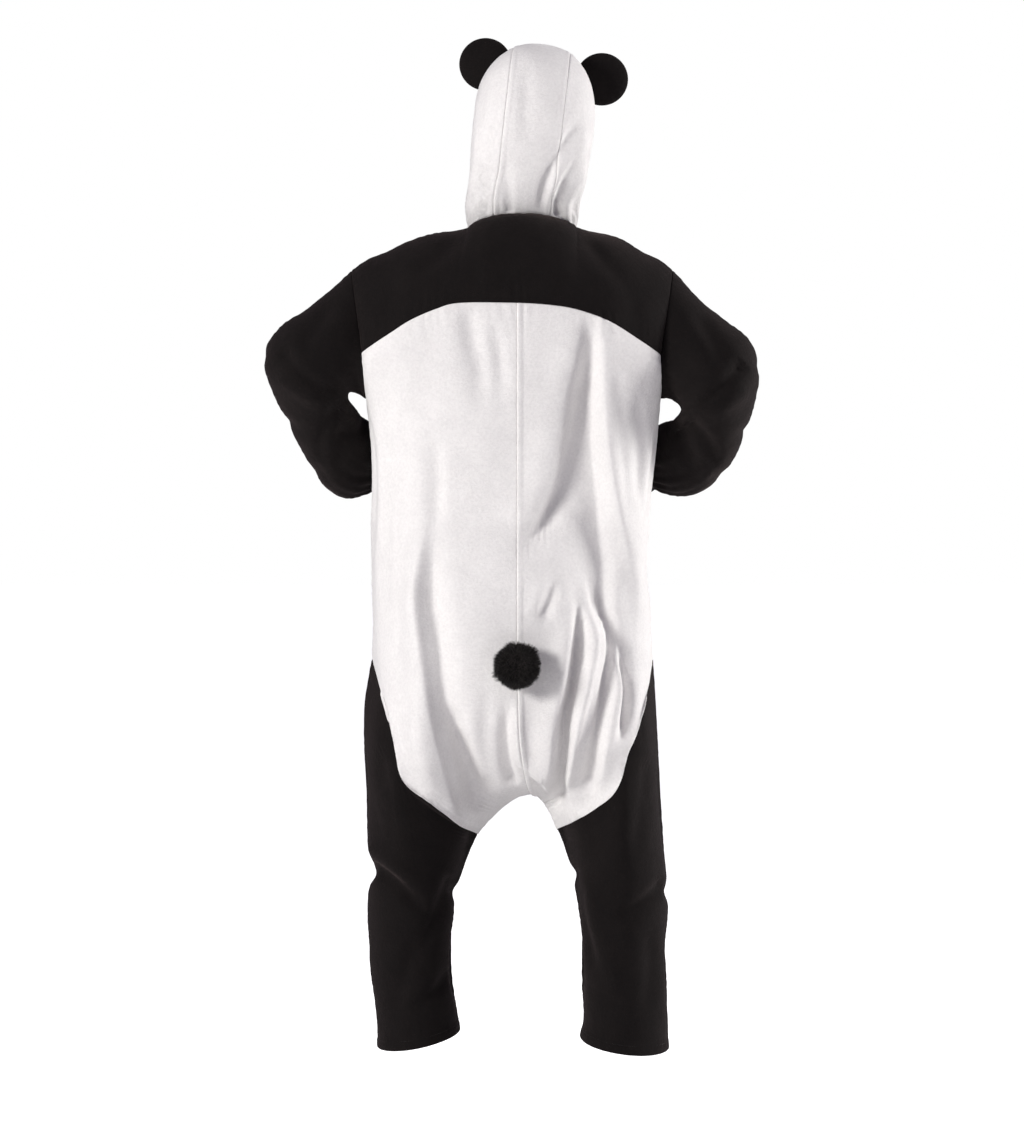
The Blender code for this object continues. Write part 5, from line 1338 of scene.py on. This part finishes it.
class Paint:
    """A procedural material, built up from its nodes."""

    def __init__(self, name):
        self.material = bpy.data.materials.new(name)
        self.material.use_nodes = True
        self.tree = self.material.node_tree
        self.shader = self.tree.nodes["Principled BSDF"]

    def node(self, kind, inputs=None, **settings):
        """A node with its settings, and its inputs from values or from other nodes' sockets."""
        made = self.tree.nodes.new("ShaderNode" + kind)
        for key, value in settings.items():
            setattr(made, key, value)
        for key, value in (inputs or {}).items():
            self.put(made.inputs[key], value)
        return made.outputs

    def put(self, socket, value):
        if isinstance(value, bpy.types.NodeSocket):
            self.tree.links.new(value, socket)
        else:
            socket.default_value = value

    def set(self, **inputs):
        for key, value in inputs.items():
            self.put(self.shader.inputs[key.replace("_", " ")], value)

    def place(self, x=1.0, y=1.0, z=1.0):
        """Object coordinates in metres, scaled along each axis."""
        at = self.node("TexCoord")["Object"]
        return self.node("Mapping", {"Vector": at, "Scale": (x, y, z)})["Vector"]

    def noise(self, scale, detail=2.0, vector=None, roughness=0.5):
        vector = vector or self.place()
        inputs = {"Vector": vector, "Scale": scale, "Detail": detail, "Roughness": roughness}
        return self.node("TexNoise", inputs)["Fac"]

    def math(self, operation, a, b=0.0, c=0.0):
        made = self.node("Math", {0: a, 1: b, 2: c}, operation=operation)
        return made["Value"]

    def span(self, value, low, high, to_low=0.0, to_high=1.0):
        inputs = {"Value": value, "From Min": low, "From Max": high, "To Min": to_low, "To Max": to_high}
        return self.node("MapRange", inputs)["Result"]

    def blend(self, share, first, second):
        made = self.tree.nodes.new("ShaderNodeMix")
        made.data_type = "RGBA"
        self.put(made.inputs["Factor"], share)
        self.put(made.inputs["A"], (*first, 1) if isinstance(first, tuple) else first)
        self.put(made.inputs["B"], (*second, 1) if isinstance(second, tuple) else second)
        return made.outputs["Result"]

    def bump(self, height, distance, strength=1.0):
        return self.node("Bump", {"Height": height, "Distance": distance, "Strength": strength})["Normal"]

    def down_the_cloth(self):
        """How far down its piece a point of the cloth lies, in metres."""
        cloth = self.node("Attribute", attribute_name="cloth")["Vector"]
        return self.node("SeparateXYZ", {"Vector": cloth})["Y"]


def fleece(name, light, dark, sheen, sheen_tint):
    """Brushed fleece: small clumps of pile a few millimetres wide, and faint lines of the knit."""
    paint = Paint(name)
    down = paint.down_the_cloth()
    clumps = paint.noise(210, 3.0, roughness=0.6)
    fibres = paint.noise(1500, 2.0)
    broad = paint.noise(24, 2.0)
    drift = paint.math("MULTIPLY_ADD", paint.noise(60), 0.004, down)
    knit = paint.math("SINE", paint.math("MULTIPLY", drift, 2 * math.pi / KNIT_PITCH))
    broken = paint.span(paint.noise(90, 2.0), 0.45, 0.62)
    lines = paint.math("MULTIPLY", knit, broken)
    tone = paint.math("MULTIPLY_ADD", clumps, 0.75, paint.math("MULTIPLY", broad, 0.35))
    tone = paint.math("MULTIPLY_ADD", lines, 0.035, tone)
    colour = paint.blend(paint.span(tone, 0.36, 0.72), dark, light)
    roughness = paint.span(clumps, 0.3, 0.7, 0.86, 0.98)
    height = paint.math("MULTIPLY_ADD", clumps, 1.0, paint.math("MULTIPLY", fibres, 0.35))
    height = paint.math("MULTIPLY_ADD", lines, 0.10, height)
    paint.set(
        Base_Color=colour,
        Roughness=roughness,
        Specular_IOR_Level=0.15,
        Sheen_Weight=sheen,
        Sheen_Roughness=0.45,
        Sheen_Tint=(*sheen_tint, 1),
        Normal=paint.bump(height, PILE, 0.8),
    )
    return paint.material


def rib_knit(name):
    """Fine rows of knitted loops along the ribs of the cuff."""
    paint = Paint(name)
    rows = paint.math("SINE", paint.math("MULTIPLY", paint.down_the_cloth(), 2 * math.pi / RIB_ROW_PITCH))
    fibres = paint.noise(1300, 2.0)
    tone = paint.math("MULTIPLY_ADD", rows, 0.18, paint.math("MULTIPLY_ADD", fibres, 0.5, 0.25))
    height = paint.math("MULTIPLY_ADD", rows, 0.5, fibres)
    paint.set(
        Base_Color=paint.blend(tone, (0.007, 0.007, 0.008), (0.018, 0.017, 0.018)),
        Roughness=paint.span(fibres, 0.3, 0.7, 0.75, 0.92),
        Specular_IOR_Level=0.25,
        Sheen_Weight=0.12,
        Sheen_Roughness=0.5,
        Sheen_Tint=(0.55, 0.5, 0.5, 1),
        Normal=paint.bump(height, 0.0003, 0.7),
    )
    return paint.material


def plush(name):
    """Long matte fibres, a little lighter and browner here and there."""
    paint = Paint(name)
    strands = paint.noise(700, 2.0)
    tufts = paint.noise(120, 2.0)
    paint.set(
        Base_Color=paint.blend(paint.span(tufts, 0.35, 0.65), (0.006, 0.0055, 0.006), (0.022, 0.019, 0.018)),
        Roughness=paint.span(strands, 0.3, 0.7, 0.6, 0.85),
        Specular_IOR_Level=0.3,
        Sheen_Weight=0.25,
        Sheen_Roughness=0.4,
        Sheen_Tint=(0.7, 0.62, 0.58, 1),
    )
    return paint.material


def plastic(name):
    """Moulded resin with faint swirls and fine scratches from wear."""
    paint = Paint(name)
    swirls = paint.noise(260, 3.0, roughness=0.7)
    scratches = paint.noise(900, 2.0, vector=paint.place(1.0, 1.0, 0.15))
    paint.set(
        Base_Color=paint.blend(paint.span(swirls, 0.35, 0.7), (0.012, 0.012, 0.013), (0.035, 0.034, 0.036)),
        Roughness=paint.span(scratches, 0.35, 0.7, 0.28, 0.46),
        Normal=paint.bump(scratches, 0.00005, 0.4),
    )
    return paint.material


def thread_paint(name, light, dark):
    """Twisted sewing thread."""
    paint = Paint(name)
    twist = paint.noise(2600, 1.0)
    paint.set(
        Base_Color=paint.blend(paint.span(twist, 0.35, 0.65), dark, light),
        Roughness=paint.span(twist, 0.35, 0.65, 0.55, 0.75),
        Sheen_Weight=0.1,
        Normal=paint.bump(twist, 0.0001, 0.5),
    )
    return paint.material


def floor_paint(name):
    """A pale painted floor, with hardly visible rolled texture."""
    paint = Paint(name)
    broad = paint.noise(1.5, 2.0)
    seen = paint.node("LightPath")["Is Camera Ray"]
    paint.set(
        Base_Color=paint.blend(paint.span(broad, 0.3, 0.7), (0.90, 0.90, 0.90), (0.93, 0.93, 0.93)),
        Roughness=paint.span(paint.noise(40), 0.3, 0.7, 0.80, 0.95),
        Specular_IOR_Level=0.1,
        Emission_Color=(1.0, 1.0, 1.0, 1),
        Emission_Strength=paint.math("MULTIPLY", seen, FLOOR_GLOW),
    )
    return paint.material


def painted(piece, material):
    piece.data.materials.clear()
    piece.data.materials.append(material)
    return piece


def add_light(name, place, watts):
    """A soft square light that faces the middle of the costume."""
    data = bpy.data.lights.new(name, "AREA")
    data.size = LIGHT_SIZE
    data.energy = watts
    data.color = LIGHT_COLOUR
    light = bpy.data.objects.new(name, data)
    light.location = place
    way = Vector(MIDDLE_OF_COSTUME) - Vector(place)
    light.rotation_euler = way.to_track_quat("-Z", "Y").to_euler()
    bpy.context.scene.collection.objects.link(light)


def make_world():
    """An even pale studio all round, before a white wall."""
    world = bpy.data.worlds.new("studio")
    world.use_nodes = True
    tree = world.node_tree
    fill = tree.nodes["Background"]
    fill.inputs["Color"].default_value = (*WORLD_COLOUR, 1)
    fill.inputs["Strength"].default_value = WORLD_STRENGTH
    wall = tree.nodes.new("ShaderNodeBackground")
    wall.inputs["Color"].default_value = (1.0, 1.0, 1.0, 1)
    seen = tree.nodes.new("ShaderNodeLightPath")
    both = tree.nodes.new("ShaderNodeMixShader")
    tree.links.new(seen.outputs["Is Camera Ray"], both.inputs[0])
    tree.links.new(fill.outputs[0], both.inputs[1])
    tree.links.new(wall.outputs[0], both.inputs[2])
    tree.links.new(both.outputs[0], tree.nodes["World Output"].inputs["Surface"])
    bpy.context.scene.world = world


def make_camera():
    data = bpy.data.cameras.new("camera")
    data.sensor_fit = "VERTICAL"
    data.sensor_width = CAMERA_SENSOR
    data.sensor_height = CAMERA_SENSOR
    data.lens = CAMERA_LENS
    data.shift_y = CAMERA_SHIFT
    camera = bpy.data.objects.new("camera", data)
    camera.location = CAMERA_AT
    camera.rotation_euler = (math.pi / 2, 0, math.pi)
    bpy.context.scene.collection.objects.link(camera)
    bpy.context.scene.camera = camera


def make_floor():
    size = 30.0
    mesh = bpy.data.meshes.new("floor")
    corners = [(-size, -size), (size, -size), (size, size), (-size, size)]
    mesh.from_pydata([(x, y, FLOOR_Z) for x, y in corners], [], [(0, 1, 2, 3)])
    floor = bpy.data.objects.new("floor", mesh)
    bpy.context.scene.collection.objects.link(floor)
    return painted(floor, floor_paint("floor paint"))


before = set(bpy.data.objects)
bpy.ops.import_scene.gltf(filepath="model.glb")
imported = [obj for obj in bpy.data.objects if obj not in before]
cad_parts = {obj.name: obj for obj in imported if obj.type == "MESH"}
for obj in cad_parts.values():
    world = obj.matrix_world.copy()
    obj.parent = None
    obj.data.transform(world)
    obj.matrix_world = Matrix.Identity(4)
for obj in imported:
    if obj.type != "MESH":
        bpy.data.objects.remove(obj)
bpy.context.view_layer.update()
PAINTS = {
    "white_fleece": fleece("white fleece", (0.90, 0.885, 0.87), (0.80, 0.785, 0.775), 0.35, (1.0, 1.0, 1.0)),
    "black_fleece": fleece(
        "black fleece", (0.0085, 0.0066, 0.0064), (0.0045, 0.0035, 0.0035), 0.07, (0.70, 0.52, 0.50)
    ),
    "black_rib": rib_knit("black rib"),
    "black_plush": plush("black plush"),
    "button_plastic": plastic("button plastic"),
}
WHITE_THREAD = thread_paint("white thread", (0.86, 0.85, 0.84), (0.70, 0.69, 0.68))
BLACK_THREAD = thread_paint("black thread", (0.020, 0.019, 0.019), (0.010, 0.010, 0.010))


def dressed(piece, slot, node=None, paint=None):
    """Paints a piece, lets it ride with the costume and stand for its CAD node."""
    painted(piece, paint or PAINTS[slot])
    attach(piece, "root")
    if node:
        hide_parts(node)
    return piece


def cloth_sheet(name, piece, slot):
    """A cut piece of cloth, painted, riding with the costume and standing for its CAD node."""
    dressed(piece, slot, name)


shells, garment = make_garment()
hood_shells, HOOD_POINTS, HOOD_FACING = make_hood()
WHITE = {"back_left", "back_right", "front_left", "front_right", "placket_belly"}
for name, piece in shells.items():
    cloth_sheet(name, piece, "white_fleece" if name in WHITE else "black_fleece")
for name, piece in hood_shells.items():
    cloth_sheet(name, piece, "white_fleece")
for name, table in (("cuff_left", LEFT_CUFF), ("cuff_right", RIGHT_CUFF)):
    cloth_sheet(name, make_cuff("knit_" + name, table), "black_rib")
for name in ("ear_left", "ear_right"):
    ear = make_ear(name, HOOD_POINTS, HOOD_FACING)
    dressed(ear, "black_fleece", name)
dressed(make_fur("fur_pompom"), "black_plush", "tail_pompom")
for number in range(1, 7):
    node = f"button_{number}"
    button, thread = make_button("sewn_" + node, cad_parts[node])
    dressed(button, "button_plastic", node)
    dressed(thread, "black_fleece", paint=BLACK_THREAD)
dressed(make_stitches("hem_stitches", garment["leg_hems"]), "black_fleece", paint=BLACK_THREAD)
face_line = beside_edge(HOOD_POINTS[::-1], HOOD_FACING[::-1])
dressed(make_stitches("hood_stitches", [face_line]), "white_fleece", paint=WHITE_THREAD)
for slot, part, paint in (
    ("black_fleece", "placket_yoke", BLACK_THREAD),
    ("white_fleece", "placket_belly", WHITE_THREAD),
):
    dressed(make_stitches(part + "_stitches", garment[part]), slot, paint=paint)

make_floor()
add_light("left light", LEFT_LIGHT_AT, LEFT_LIGHT_WATTS)
add_light("right light", RIGHT_LIGHT_AT, RIGHT_LIGHT_WATTS)
add_light("top light", TOP_LIGHT_AT, TOP_LIGHT_WATTS)
make_world()
make_camera()
bpy.context.scene.view_settings.view_transform = "Standard"
